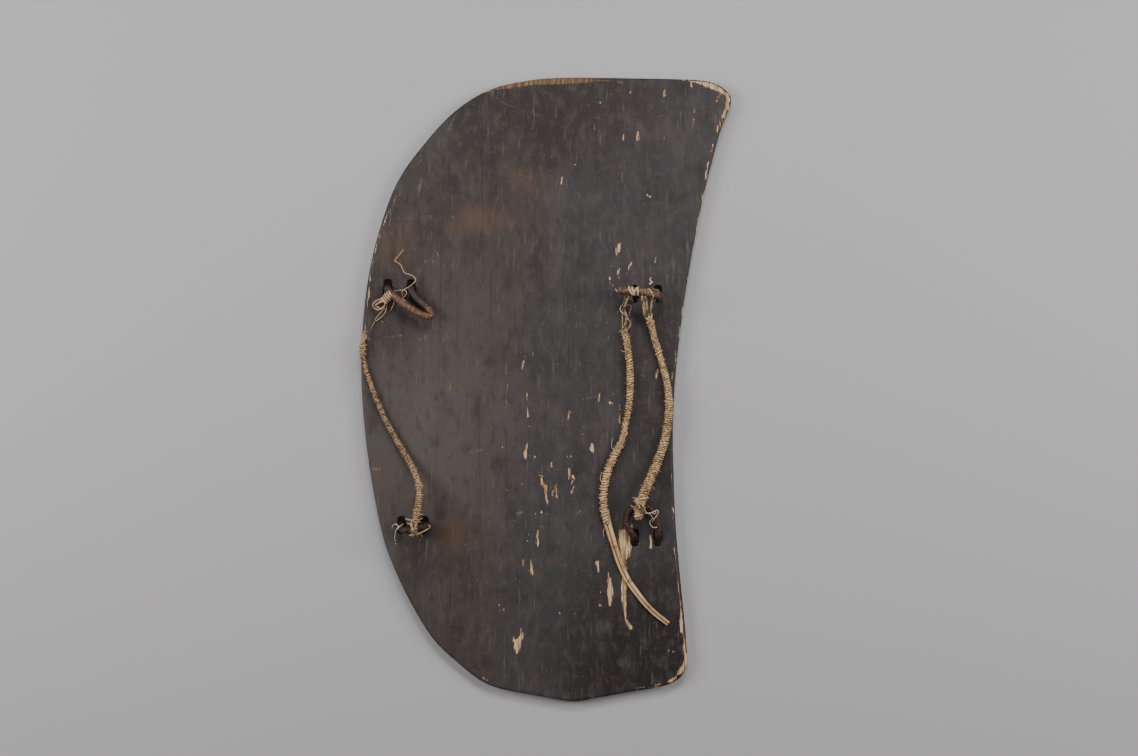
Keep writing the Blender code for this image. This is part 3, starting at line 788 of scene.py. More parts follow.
UPPER_RIGHT_FIBRES = [
    (0.8, [(138.9, 139.5, 20), (127.7, 151.5, 28), (125, 144.8, 19), (122.2, 135.2, 11)]),
    (0.55, [(125.3, 133.6, 10), (131.8, 134.9, 12), (135.7, 132.5, 11), (133.8, 124, 8),
          (132.5, 116.8, 5)]),
    (1.1, [(122.6, 136.8, 10), (118.1, 129.6, 8.5), (120.5, 123.2, 8.5), (126.1, 119.2, 9.5),
          (130.9, 112.8, 9), (134.7, 107.2, 8), (133.8, 101.6, 8), (130.2, 96.2, 9),
          (128.3, 90.4, 11)]),
    (1, [(123.5, 134.4, 10.5), (126.1, 125.6, 9.5), (129, 117.6, 9), (127, 110.4, 8), (124.8, 102.4, 8),
          (121, 95.2, 9.5), (119.7, 88.8, 11)]),
    (0.8, [(121.3, 128.8, 7), (121.6, 117.6, 5), (121.9, 103.2, 6), (121.3, 93.6, 8)]),
    (0.9, [(129.3, 88, 13), (127, 95.5, 12), (122.2, 93.6, 12.5), (119.4, 89.8, 11)]),
    (0.7, [(119, 94.6, 10), (116.2, 92.6, 9), (114.6, 91, 7)]),
    (0.7, [(166, 160.5, 52), (170.9, 157.6, 50), (177.3, 156, 42), (177.3, 149.6, 32),
          (170.9, 140, 22)]),
    (0.6, [(168.3, 158, 50), (172.4, 150, 40), (172.8, 143, 30), (171, 138, 24)]),
]
LEFT_STRAP_STAR = [
    (0.8, [(-290.1, 90.4, 9), (-293.4, 92.8, 10), (-296, 94.6, 8)]),
    (0.8, [(-290.1, 90.4, 9), (-287, 92.4, 11), (-284.6, 92.8, 9)]),
    (0.7, [(-290.1, 90.4, 9), (-287.4, 88, 12), (-285.3, 86.7, 11)]),
    (0.7, [(-290.1, 90.4, 9), (-292.8, 88.6, 10), (-294.9, 85.6, 9)]),
    (0.7, [(-291, 84, 9), (-290, 91, 10), (-288.8, 98, 7), (-289.4, 104, 4)]),
    (0.8, [(-292, 74, 11), (-288.6, 79.7, 12), (-286.4, 84, 12), (-287.6, 89, 10)]),
    (0.8, [(-291, 72, 11), (-294.3, 78, 11), (-292.4, 84, 11), (-289.4, 89, 9)]),
    (0.6, [(-289, 84, 10), (-284.8, 82, 9), (-281.8, 79.7, 6)]),
    (0.9, [(-292, 88, 9), (-291.6, 81, 11), (-291.4, 74, 12)]),
    (0.9, [(-289.4, 88, 9), (-290.2, 81, 12), (-291.4, 75, 12)]),
]
UPPER_RIGHT_TUFT = [
    (1.2, [(165.6, 176.8, 44), (163.8, 172.5, 47), (165.8, 168.8, 50), (161.6, 165.3, 53)]),
    (0.9, [(168.3, 169.8, 47), (166.1, 167.5, 50), (163.8, 165, 52)]),
    (0.9, [(109.4, 159, 35), (111.2, 156.6, 37), (113.1, 154.1, 36)]),
]
LOWER_RIGHT_FIBRES = [
    (1.3, [(133.4, -182.2, 36), (138.9, -185.4, 39.5), (145.9, -190.2, 39.5), (152, -194.7, 35)]),
    (0.7, [(136.6, -170.7, 26), (140.5, -171.2, 30), (146.1, -171.7, 34)]),
    (0.6, [(169.6, -154.4, 26), (171.5, -156.3, 24), (172.5, -159.2, 22)]),
    (1.2, [(145.3, -194.4, 33), (145.6, -199.2, 30), (144.6, -204, 26)]),
    (1.2, [(149.1, -196, 33), (149.8, -201.4, 30), (150.4, -206.6, 26)]),
    (1.1, [(152.3, -194.4, 32), (153.3, -199.2, 29), (152.3, -203.7, 25)]),
    (0.9, [(142.7, -192.8, 32), (141.8, -197.6, 29), (142.4, -201.4, 27)]),
]
LOWER_RIGHT_STRINGS = [
    (0.75, [(156.5, -195.4, 33), (162.9, -195, 31), (169.3, -194.1, 27), (176.3, -191.5, 22),
          (178.6, -194.4, 21), (175.7, -200.2, 21), (170.9, -206.2, 20), (168.6, -210.4, 19)]),
    (0.7, [(158.1, -193.4, 33), (164.5, -197.3, 29), (168.6, -202.4, 25), (171.8, -208.8, 21)]),
    (0.75, [(168.3, -204.6, 24), (165.1, -209.4, 20), (165.4, -213.9, 18), (169.6, -218.7, 17),
          (175.7, -219, 16), (180.8, -213.9, 14)]),
    (0.6, [(166.7, -194.4, 29), (171.5, -197, 27), (174.7, -194.4, 25), (170.2, -192.2, 26)]),
]
INNER_STRAP_FIBRES = [
    (0.6, [(106.9, -76.8, 3), (104.6, -85.6, 4), (105.3, -93.6, 6), (110.1, -98.4, 9)]),
    (0.8, [(113.3, -86.2, 9), (112, -92, 10.5), (114.6, -97.6, 11)]),
    (0.7, [(119, -83.7, 10), (115.8, -90.4, 12), (115.8, -96.2, 12.5)]),
    (0.6, [(88.3, -131.4, 8), (86.4, -141.6, 9), (89.3, -149.6, 10)]),
    (0.6, [(118.7, 62.2, 9), (121.9, 61.3, 11.5), (125.4, 60.6, 13)]),
    (0.6, [(92.5, -222.2, 4), (91.5, -229.6, 2), (92.8, -236, 1.4)]),
    (0.8, [(122.6, -69.6, 12.4), (124.2, -66.2, 13.4), (127.4, -66, 13.4), (129.2, -69, 13),
          (127.6, -72.6, 13), (124.4, -72.8, 13), (122.5, -70, 12.8)]),
    (0.9, [(126.6, -74, 11), (121, -84, 13), (114, -92, 13), (107.5, -102, 12.5)]),
    (0.9, [(122, -73, 11), (118.4, -82, 12.6), (113, -89, 13.4), (108.5, -96, 12)]),
    (0.8, [(125, -76, 11), (122.4, -85, 11), (117.4, -94, 11.6), (112.8, -101, 11)]),
]
coil_pieces = [coil, fibre_set("curls", UPPER_LEFT_CURLS, 8), fibre_set("fibres", UPPER_LEFT_FIBRES)]
dress(join("binding_remnant_coil", coil_pieces), "strap_cane", "binding_remnant")
FIBRE_SETS = {
    "lower_left_twigs": LOWER_LEFT_FIBRES, "lower_left_string": LOWER_LEFT_STRINGS,
    "upper_right_fibres": UPPER_RIGHT_FIBRES, "upper_right_tufts": UPPER_RIGHT_TUFT,
    "lower_right_fibres": LOWER_RIGHT_FIBRES, "lower_right_string": LOWER_RIGHT_STRINGS,
    "inner_strap_fibres": INNER_STRAP_FIBRES, "left_strap_star": LEFT_STRAP_STAR,
}
for name, rows in FIBRE_SETS.items():
    dress(fibre_set(name, rows), "strap_cane")
print("fibre sets:", len(FIBRE_SETS) + 1)

# %% [markdown]
# The dark face of the plank has splinters broken out of it along the grain, and its rim is
# worn down to pale wood. Modelled one by one, they would never end, so each is a stroke
# instead, as with a pen: a few places in millimetres from the middle of the board, with
# half the width that the bare wood has there. A stain is a stroke of brown wood.

# %% Chips and worn edges
CHIPS = [
    [(-35.2, 52.6, 0.8), (-36.2, 44.8, 2.1), (-38.4, 32, 0.9)],
    [(-30.7, -6.7, 1.3), (-30.7, -17.3, 1.3)], [(-29.9, -29, 1.4), (-29.4, -43.2, 1.6)],
    [(-27.5, -58.9, 0.9)], [(37, -34.1, 1.2), (36.8, -40.8, 1.9), (34.9, -48.8, 1.2)],
    [(19.7, -53.3, 1)], [(85.3, -7.2, 1.2), (84.5, -17.3, 1.4)],
    [(101.8, -20.6, 2.1), (107.4, -22.9, 0.8)],
    [(73.6, -88, 2.1), (73.3, -95.2, 3.9), (74.9, -100, 1.4)], [(60.5, -71.2, 1.5)],
    [(-30.4, -86.9, 0.9), (-31.5, -95.2, 1.4), (-33.4, -102.4, 3.6), (-32.6, -110.4, 1.4)],
    [(-26.9, -105.9, 1.6)], [(-18.2, -107.5, 1.9)], [(-70.7, -91.4, 0.8)],
    [(8.5, -116.8, 1.4), (8.5, -123.2, 1.3)], [(13, -127.2, 0.9)], [(40, -106.7, 1.5)],
    [(33.3, -106.7, 1)], [(66.4, -122.4, 1)],
    [(36.2, -126.4, 1.2), (36.5, -133.6, 2.2), (37, -142.4, 1.4)],
    [(42.1, -138.4, 1.6), (45.3, -143.2, 1.6)], [(42.6, -146.4, 1.5), (40.2, -152, 1)],
    [(43.7, -155.2, 1.5), (40.6, -165.6, 1)], [(-11.7, -132.8, 0.8)], [(-9.9, -137.4, 0.9)],
    [(-6.1, -138.4, 1.2)],
    [(-7.8, -142.4, 1.6), (-5.9, -151.2, 3.3), (-1.4, -155.2, 3.2), (-1.1, -167.2, 1.7),
     (1.3, -180, 1.6), (2.9, -184.8, 0.7)],
    [(16.2, -152, 1.2), (15.7, -159.2, 2.4), (14.9, -165.6, 1.5), (17.3, -173.6, 1)],
    [(10.9, -162.4, 1.3), (9.6, -170.4, 0.9)], [(-9, -197, 1.4), (-6.1, -196, 1.6)],
    [(-16.2, -199.2, 1.3)], [(1.8, -199.2, 1.3)], [(-17.3, -205.4, 1.5)], [(-29.1, -232.3, 1.5)],
    [(-40.8, -240.8, 0.9)], [(-35.2, -241.8, 0.9)], [(-30.1, -241.8, 1)],
    [(-13.4, -226.1, 0.9), (-13.4, -237.6, 1.9), (-13.8, -246.4, 2.2), (-13.9, -250.1, 1)],
    [(-156.5, -119.2, 1)], [(-78.7, -232.3, 0.9)],
    [(-25.1, -271.2, 0.9), (-23.5, -282.4, 2.2), (-22.4, -292.8, 2.4), (-23, -296, 1)],
    [(-28.5, -290.2, 1.3)], [(81.6, -276.8, 3.2), (82.9, -284, 1.9), (84.2, -291.2, 0.9)],
    [(100.2, -293.6, 0.7), (101.3, -306.4, 3.2), (102.6, -317.6, 5.2), (102.4, -328.8, 4.4),
     (102.1, -344.8, 1.9)], [(86.1, -345.1, 1.9), (90.9, -346.1, 0.8)], [(86.7, -324.3, 1)],
    [(126.1, -229.6, 7.1), (126.9, -237.6, 10.1), (126.1, -248.8, 9.1), (126.1, -260, 7.1),
     (125.4, -272.8, 4), (124.5, -288.8, 3.7), (123.8, -312.8, 4.3), (124.2, -332, 4.6),
     (125.3, -344.8, 3.7), (126.1, -357.6, 2.2), (128.2, -367.2, 1.6), (132.5, -377.6, 3.2),
     (135.7, -381.3, 3)], [(117.3, -226.4, 1.4), (117.4, -250.4, 2.1)],
    [(136, -240.8, 1.9), (133.3, -266.4, 1.4)], [(119.4, -200, 0.9), (118.9, -208, 1)],
    [(119.7, -219.2, 0.7), (119.7, -228, 0.9)], [(137, -216.5, 1.4), (136.6, -222.4, 1.9)],
    [(166.6, -234.4, 1.9), (167.4, -252.8, 2.1)],
    [(-40.8, -378.9, 0.8), (-39, -389.6, 1.7), (-40.3, -397.6, 3.3), (-44.8, -403.2, 5.8),
     (-45.8, -410.4, 5.9), (-46.7, -419.2, 3.6)], [(-53.1, -393.6, 1), (-51.5, -402.4, 2.1)],
    [(-62.1, -414.7, 1)], [(-74.6, -344.5, 1.3)], [(-68.8, -352, 1.2)], [(-64, -313.8, 1)],
    [(22.1, -357.6, 1.6)], [(197.1, -417.4, 1)], [(203.8, -419.7, 1)],
    [(216.6, -350.7, 1.7), (217.3, -362.4, 4), (217.8, -376.8, 4.6), (217.3, -386.4, 3.4)],
    [(37.8, 482.6, 1.2)], [(135.8, 478.2, 0.9), (135, 474.4, 1.3)],
    [(189.8, 478.4, 1.6), (188.8, 470.4, 2.1)], [(86.4, 458.9, 1.3)],
    [(124.2, 407.8, 1), (123.2, 401.8, 2.2)], [(146.9, 412, 1.5), (145.9, 400, 2.2)],
    [(181.6, 439.2, 1)], [(185.3, 438.6, 1.2)], [(189.3, 402.6, 0.9)],
    [(237.3, 448.8, 0.9), (237.1, 443.4, 1.3)], [(235.5, 432.8, 0.8), (234.6, 419.2, 1.2)],
    [(25.8, 340.3, 1), (24.3, 330.4, 1.5)], [(45.8, 359.8, 1)],
    [(160.5, 311.8, 0.9), (166.1, 308.3, 1.4)],
    [(118.1, 232.8, 1.9), (114.9, 224.8, 4.1), (112.3, 216.8, 2.1)],
    [(135.7, 202.1, 1.4), (132.2, 194.7, 2.2), (130.6, 191.2, 1)],
    [(117, 193.6, 1), (115.5, 188.6, 1.9), (114.9, 183.8, 1.4)], [(101.8, 178.1, 1.5)],
    [(102.4, 170.7, 1.2)], [(102.9, 197.3, 1.2)], [(175.7, 211.2, 0.9), (174.1, 203.5, 1.2)],
    [(177.8, 31.2, 1.7), (176.6, 20, 1.9)], [(118.1, -40, 1.2), (117.4, -53.6, 1.3)],
    [(117.3, -24.8, 0.9), (117.4, -32, 0.9)], [(232.5, 494.4, 1.5), (232.5, 485.6, 1.9)],
    [(278.1, 473.6, 1.4), (273.3, 461.6, 1.3)], [(39.7, -278.4, 0.9)],
]
STAINED = [
    [(-12.8, -45.4, 1.5)], [(-59.2, -93.6, 1.1), (-59.2, -100, 1.3)], [(-86.4, -89.6, 1.3)],
    [(-154.2, 8.8, 1.3), (-154.2, 0.8, 1.3)], [(-161.4, -141.6, 1.7)],
    [(-36.8, -273.6, 1.1), (-36.8, -281.6, 1.4)], [(46.7, -358.7, 1.1)], [(83.5, 434.6, 1.1)],
    [(77.4, 423.2, 1.1), (76.8, 416.8, 1.4)], [(18.4, 381.1, 1.1)], [(7.7, 350.6, 1.3)],
    [(-275.5, -127.2, 1.9), (-265.9, -127.2, 2.2)], [(-9.1, -284.8, 1.1)], [(112.8, 186.4, 0.9)],
    [(138.6, 185.9, 1.3)], [(-54.7, -208.5, 1.5), (-49.9, -210.7, 1.1)],
    [(-165.7, 421, 0.9), (-161.5, 429, 0.6)], [(-206.4, 359.8, 0.8), (-200, 366.5, 0.5)],
    [(-232, 318, 1), (-236, 309, 0.6)], [(-246, 292, 0.9), (-243, 300, 0.6)],
]
BROWN_EDGE = [
    [(-134.7, 458.4, 1.6), (-121.9, 468, 1.9), (-105.9, 476.3, 2.6), (-86.7, 482.1, 3.5),
     (-66.6, 485.9, 4.8), (-45.1, 489.8, 5.1), (-24.3, 492.3, 5.1), (-1.9, 494.2, 5.8),
     (15.7, 494.9, 6.2), (38.1, 495.5, 5.8), (58.9, 495.5, 4.5), (73.3, 495.5, 2.6)],
    [(87.7, 494.9, 1.6), (98.9, 494.6, 1.9)], [(116.5, 493.3, 2.2), (121.3, 491.4, 1.6)],
]
PALE_EDGE = [
    [(218.9, 494.6, 1.2), (230.7, 493.6, 1.4), (241.3, 492, 2.2), (256.3, 488, 4.1), (268.5, 484, 4.4),
     (279.7, 478.4, 4), (287.7, 472.8, 3.2), (291.8, 464.8, 3.2), (289.9, 452, 3.4),
     (283.7, 437.6, 2.8), (277.3, 423.2, 2.2), (272.6, 412, 1.2)], [(266.1, 391.2, 1), (262.9, 380, 1)],
    [(259.2, 364, 1.2), (258.6, 356, 1.4)], [(256.3, 348, 1.7), (255, 338.4, 1.8)],
    [(253.3, 322.4, 1.4), (249.6, 295.2, 2)], [(246.9, 284, 1.4), (242.6, 261.6, 2.2)],
    [(241, 253.6, 2.2), (238.1, 234.4, 2.6)], [(235.5, 220, 1.8), (231.7, 194.4, 2.2)],
    [(229.3, 183.2, 1.4), (225.9, 159.2, 1.6)], [(220.5, 143.2, 1.2), (217.3, 114.4, 1.4)],
    [(214.7, 98.4, 1.4), (212.5, 82.4, 1.2)], [(207.7, 63.2, 1), (205.4, 37.6, 1.2)],
    [(202.4, 26.4, 1.6), (201.9, 16.8, 1.7)], [(199.7, -88.8, 1), (200.5, -128.8, 1)],
    [(202.6, -184.8, 1), (202.9, -208.8, 1)], [(205.1, -232.8, 1.4), (205.4, -242.4, 1.4)],
    [(204.5, -253.6, 1), (206.7, -266.4, 1)], [(209.4, -272.8, 1.4), (209.6, -284.8, 1.7)],
    [(210.2, -301.6, 0.8), (211.5, -324, 1)],
    [(221.4, -391.2, 2), (223.4, -404, 3.6), (224, -420, 3.8), (223.4, -436, 3.6),
     (220.2, -445.6, 2.8)], [(218.9, -444, 2.4), (215, -451.2, 4.1), (211.5, -456, 2.8)],
    [(207.7, -460.8, 2.4), (202.1, -464.5, 2.8), (195.7, -467.7, 2)],
    [(182.1, -472.8, 1.4), (175.7, -475, 2.4), (170.9, -475.7, 1.4)],
    [(155.7, -477.3, 1.2), (150.9, -477.9, 2), (143.7, -479.8, 1.7), (135.7, -481.8, 1.4)],
    [(83.7, -490.4, 1.2)], [(70.1, -492.3, 1.4), (75.7, -492, 1.8)], [(106.9, -487.5, 1.2)],
    [(-44.8, -480, 1.2)], [(-100.3, -461.6, 1), (-94.7, -465.4, 1)],
    [(-290.7, 47.2, 1), (-291.5, 23.2, 1.2)], [(-287.5, -100, 1), (-285.9, -116, 1)],
    [(-250.9, 288, 0.3), (-258.6, 268, 0.7), (-266.9, 246.6, 1.1), (-276, 213, 0.5),
     (-281.3, 182.2, 0.5), (-285.1, 151.7, 0.9), (-287.7, 121.1, 0.4), (-291.4, 96.8, 0.3)],
    [(-281, 176, 1.6), (-282.6, 168, 1.3)], [(-283.5, 156, 1.8), (-284.6, 148, 1.4)],
]
SCUFFED = [
    [(-260.2, 82.6, 0.5), (-230.4, 86.7, 0.4)], [(-174.2, 217.6, 1.6), (-172.6, 213.6, 1.2)],
    [(-181.4, 205, 1.4)], [(-201.8, 79.7, 1.5)], [(-193.3, 86.4, 1), (-193.6, 79.2, 0.9)],
    [(-168.8, 95.2, 1.1)], [(-268, 88.6, 1.3)], [(128.6, 186.4, 1.3)], [(116.6, 179, 1.8)],
    [(107, 167, 1.2)], [(103.7, 151.7, 1.1)], [(113.8, 124, 1.2)], [(195.5, 165.4, 1.3)],
    [(98.6, 82.6, 1.5)], [(159.7, 41.8, 1.1)], [(151.4, 22.4, 1.1)], [(97.9, 106.4, 1.4)],
    [(-21.4, 57.8, 1.1), (-21.3, 53.6, 1)], [(18.4, 40.3, 1.2)], [(38.9, 35.8, 1.1)],
    [(-63.4, 40.8, 0.8), (-64.3, 26.4, 0.9)], [(-62.1, 8.8, 0.7), (-62.7, -5.6, 0.7)],
    [(-63.7, -16.8, 0.7), (-63.7, -29.6, 0.6)], [(57, -16.6, 0.5), (79.7, -10.9, 0.5)],
    [(107, -7.5, 1.1)], [(60.5, -59.8, 1.1)], [(37.6, -72.3, 1.2)], [(77.4, -73.4, 1.1)],
    [(-62.4, -161.1, 1.1)], [(-38.6, -150.9, 1.5)], [(-45.9, -198.2, 2), (-39.5, -196.6, 1.6)],
    [(-55.7, -217.9, 1.3)], [(53.6, -194.4, 1), (50.2, -199.8, 0.9)], [(-6.7, -219.2, 1.2)],
    [(160.6, 45, 1)], [(154.9, 22.1, 1.1)],
    [(-142.2, 444, 0.6), (-150.7, 428, 0.6), (-158.7, 410.4, 0.5)],
    [(-214.7, 365.6, 0.9), (-227.5, 354.4, 0.8)],
    [(-198.7, 338.4, 0.8), (-202.7, 322.4, 0.9), (-205.9, 308, 0.6)],
    [(-240.3, 309.6, 0.8), (-248.3, 284, 0.9), (-250.7, 261.6, 0.7)], [(-219.5, 272.8, 1.2)],
    [(-187.5, 277.6, 1), (-182.7, 274.4, 0.8)], [(-247.5, 250.4, 1.2)], [(-149.1, 276, 1.6)],
    [(-193.9, 205.6, 1)], [(-80.3, 468, 0.6), (-65.9, 456.8, 0.6), (-49.9, 452, 0.5)],
    [(-121.9, -100, 0.5), (-96.3, -95.2, 0.5)],
]


# %% Distance from the strokes
DISC_STEP = 0.0008


def stroke_discs(strokes):
    """Even discs along the strokes, with a tree that finds the ones near a place."""
    discs = []
    for stroke in strokes:
        ends = [Vector(end) * MM for end in stroke]
        for a, b in zip(ends, ends[1:] + ends[-1:]):
            count = max(1, round((b.xy - a.xy).length / DISC_STEP))
            discs += [a.lerp(b, k / count) for k in range(count)]
    tree = kdtree.KDTree(len(discs))
    for index, disc in enumerate(discs):
        tree.insert((disc.x, disc.y, 0.0), index)
    tree.balance()
    return tree, discs


STROKE_REACH = 0.016


def depth_inside(stroke_set, place):
    """Metres in from the strokes' rim, below zero outside them."""
    tree, discs = stroke_set
    near = tree.find_range((place.x, place.y, 0.0), STROKE_REACH)
    return max((discs[index].z - gap for spot, index, gap in near), default=-STROKE_REACH)


chips, stains = stroke_discs(CHIPS), stroke_discs(STAINED)
pale_rim, brown_rim = stroke_discs(PALE_EDGE), stroke_discs(BROWN_EDGE)
scuffs = stroke_discs(SCUFFED)
print("chips:", len(CHIPS), "stains:", len(STAINED), "worn edges:", len(PALE_EDGE) + len(BROWN_EDGE))

# %% [markdown]
# The board is one thin plank, split and scraped to shape. Its back is not quite flat: the
# scraper left long shallow waves, and the splinters left shallow pits. A copy of the solid
# is cut into a close grid, closest round the strokes, so that its points can be lowered.
# Every change goes into the wood, so the plank keeps its real thickness and outline.

# %% Board cut into a grid
CELL = 0.010
GRID_REACH = (0.30, 0.50)
LEVEL = 0.999


def flat_faces(plank, height):
    """The faces that lie level at the given height."""
    level = [f for f in plank.faces if abs(f.normal.z) > LEVEL]
    return [f for f in level if abs(f.calc_center_median().z - height) < 1e-5]


def slice_flat(plank, height):
    """Cuts one flat side of the plank along even lines, ready to lose its old edges."""
    for axis, reach in enumerate(GRID_REACH):
        for index in range(1, int(2 * reach / CELL)):
            place, normal = Vector((0.0, 0.0, height)), Vector((0.0, 0.0, 0.0))
            place[axis] = -reach + index * CELL
            normal[axis] = 1.0
            near = [f for f in flat_faces(plank, height)
                    if min(v.co[axis] for v in f.verts) < place[axis] < max(v.co[axis] for v in f.verts)]
            around = {v for f in near for v in f.verts} | {e for f in near for e in f.edges} | set(near)
            bmesh.ops.bisect_plane(plank, geom=list(around), dist=1e-5, plane_co=place, plane_no=normal)


def on_grid(edge, axis):
    """Whether an edge runs along one of the lines that cross the axis."""
    a, b = (v.co[axis] for v in edge.verts)
    share = (a + GRID_REACH[axis]) / CELL
    return abs(a - b) < 1e-6 and abs(share - round(share)) < 1e-3


def clear_leftover(plank, height):
    """Removes the edges inside the grid's cells, and then the points left between crossings."""
    flats = set(flat_faces(plank, height))
    spare = []
    for edge in plank.edges:
        inside = len(edge.link_faces) == 2 and all(f in flats for f in edge.link_faces)
        if inside and not on_grid(edge, 0) and not on_grid(edge, 1):
            spare.append(edge)
    bmesh.ops.dissolve_edges(plank, edges=spare, use_verts=False)
    flats = set(flat_faces(plank, height))
    between = [v for v in plank.verts if len(v.link_edges) == 2 and all(f in flats for f in v.link_faces)]
    bmesh.ops.dissolve_verts(plank, verts=between)
    return len(spare)


plank = bmesh.new()
plank.from_mesh(frame["nodes"]["board"].data)
bmesh.ops.remove_doubles(plank, verts=plank.verts, dist=1e-6)
for height in (BACK_Z, FRONT_Z):
    slice_flat(plank, height)
    cleared = clear_leftover(plank, height)
print("cells:", len(flat_faces(plank, BACK_Z)), "edges cleared:", cleared)


# %% Board refined
def on_rim(edge):
    """Whether an edge bounds a face of the rounded rim or of a slot's wall."""
    return any(abs(f.normal.z) < LEVEL for f in edge.link_faces)


def cut_in_three(plank, edges):
    bmesh.ops.subdivide_edges(plank, edges=list(edges), cuts=2, use_grid_fill=True)


LONG_RIM_EDGE = 0.003
NEAR_STROKE = 0.003
flats = set(flat_faces(plank, BACK_Z)) | set(flat_faces(plank, FRONT_Z))
bmesh.ops.join_triangles(plank, faces=[f for f in plank.faces if f not in flats],
                         angle_face_threshold=0.9, angle_shape_threshold=0.9)
edge_cells = [f for f in flat_faces(plank, BACK_Z) if len(f.verts) != 4 or any(map(on_rim, f.edges))]
bmesh.ops.triangulate(plank, faces=edge_cells)
cut = {e for f in flat_faces(plank, BACK_Z) for e in f.edges}
level = [e for e in plank.edges if abs(e.verts[0].co.z - e.verts[1].co.z) < 1e-6]
cut |= {e for e in level if e.calc_length() > LONG_RIM_EDGE and on_rim(e)}
cut_in_three(plank, cut)
print("faces of the plank, even:", len(plank.faces))
all_strokes = stroke_discs(CHIPS + STAINED + SCUFFED + PALE_EDGE + BROWN_EDGE)
back = flat_faces(plank, BACK_Z)
near = [f for f in back if depth_inside(all_strokes, f.calc_center_median()) > -NEAR_STROKE]
cut_in_three(plank, {e for f in near for e in f.edges})
print("faces of the plank, closer round the strokes:", len(plank.faces))

# %% [markdown]
# Wood breaks along its grain, so the strokes get ragged rims: the distance to a rim is shifted
# by a noise that is stretched along the plank. The same ragged distance is kept on each point,
# in millimetres, and the finish reads it to tell bare wood from brown and from dark.


# %% Board relief
def soft_step(value, full):
    """Nought below zero, one above full, and a smooth rise between."""
    share = max(0.0, min(1.0, value / full))
    return share * share * (3.0 - 2.0 * share)


def grain(place, across, along, seed):
    """A noise with its own number of waves in a metre across the grain and along it."""
    return wobble(place.x * across, place.y * along, seed)


LIP_DEPTH = 0.0007
PIT_DEPTH = 0.0008
WORN_DEPTH = 0.0007
WAVE_DEPTH = 0.00022
SCRAPE_DEPTH = 0.00010
wear = plank.verts.layers.float_vector.new("wear")
plank.normal_update()
for vertex in plank.verts:
    place = vertex.co.copy()
    under = max(0.0, (FRONT_Z + BACK_Z) / 2 - place.z)
    below_back = place.z < BACK_Z - 1e-5
    ragged = 0.0008 * grain(place, 420.0, 60.0, 2.0) + 0.0006 * grain(place, 150.0, 90.0, 8.0)
    chip = -STROKE_REACH if below_back else depth_inside(chips, place) + ragged
    worn_pale = depth_inside(pale_rim, place) + 1.6 * ragged - under
    worn_brown = depth_inside(brown_rim, place) + 1.6 * ragged - under
    stain = -STROKE_REACH if below_back else depth_inside(stains, place) + ragged
    scuffed = -STROKE_REACH if below_back else depth_inside(scuffs, place)
    vertex[wear] = Vector((max(chip, worn_pale), max(stain, worn_brown), scuffed)) * 1000.0
    torn = 0.65 + 0.35 * grain(place, 380.0, 30.0, 4.0)
    sunk = (LIP_DEPTH * soft_step(chip, 0.0010) + PIT_DEPTH * soft_step(chip - 0.001, 0.006)) * torn
    sunk += WORN_DEPTH * soft_step(max(worn_pale, worn_brown), 0.0025) * torn
    if below_back:
        vertex.co -= vertex.normal * sunk
    else:
        waves = WAVE_DEPTH + WAVE_DEPTH * grain(place, 14.0, 3.5, 1.0)
        vertex.co.z -= sunk + max(0.0, waves + SCRAPE_DEPTH * grain(place, 160.0, 9.0, 5.0))
board_mesh = bpy.data.meshes.new("board")
plank.to_mesh(board_mesh)
plank.free()
board = show("board_plank", board_mesh)
board_mesh.set_sharp_from_angle(angle=math.radians(50))
dress(board, "board_wood", "board")
print("board triangles:", sum(len(p.vertices) - 2 for p in board_mesh.polygons))

# %% [markdown]
# A finish is a small tree of nodes. A few helpers keep the trees short: they add a node and
# link it up, mix two colours, turn a number into a smooth step, lay a colour over the one
# below by such a step, and make a noise that is stretched to follow the grain.


# %% Node helpers
def put(tree, kind, inputs, **settings):
    """Adds a node, and gives each named input a value or another node's output."""
    node = tree.nodes.new("ShaderNode" + kind)
    for key, value in settings.items():
        setattr(node, key, value)
    for key, value in inputs.items():
        if isinstance(value, bpy.types.NodeSocket):
            tree.links.new(value, node.inputs[key])
        else:
            node.inputs[key].default_value = value
    return node


def mix(tree, share, under, over):
    """Lays one colour over another, by a share between nought and one."""
    def colour(value):
        return value if isinstance(value, bpy.types.NodeSocket) else (*value, 1.0)
    return put(tree, "Mix", {0: share, 6: colour(under), 7: colour(over)}, data_type="RGBA").outputs[2]


def sums(tree, operation, a, b):
    """One sum of two numbers, such as ADD or MULTIPLY."""
    return put(tree, "Math", {0: a, 1: b}, operation=operation).outputs[0]


def step(tree, value, low, high, full=1.0):
    """Nought below low, full above high, with a smooth rise between."""
    ends = {"Value": value, "From Min": low, "From Max": high, "To Min": 0.0, "To Max": full}
    return put(tree, "MapRange", ends, interpolation_type="SMOOTHSTEP").outputs[0]


def lay(tree, under, over, value, low, high, full=1.0):
    """Lays a colour over another, where a number rises from low to high."""
    return mix(tree, step(tree, value, low, high, full), under, over)


def grain_noise(tree, place, scale, detail=3.0, turn=0.0, shift=0.0):
    """A noise from nought to one, with its own number of waves in a metre along each axis."""
    turned = put(tree, "Mapping", {"Vector": place, "Location": (shift, shift, shift),
                                   "Rotation": (0.0, 0.0, turn), "Scale": scale})
    return put(tree, "TexNoise", {"Vector": turned.outputs[0], "Scale": 1.0, "Detail": detail}).outputs[0]


def blot(tree, place, middle, reach):
    """A round patch that fades out from one at its middle."""
    moved = put(tree, "Mapping", {"Vector": place, "Location": (*middle, 0.0), "Scale": (*reach, 1.0)},
                vector_type="TEXTURE")
    return put(tree, "TexGradient", {"Vector": moved.outputs[0]}, gradient_type="SPHERICAL").outputs[0]


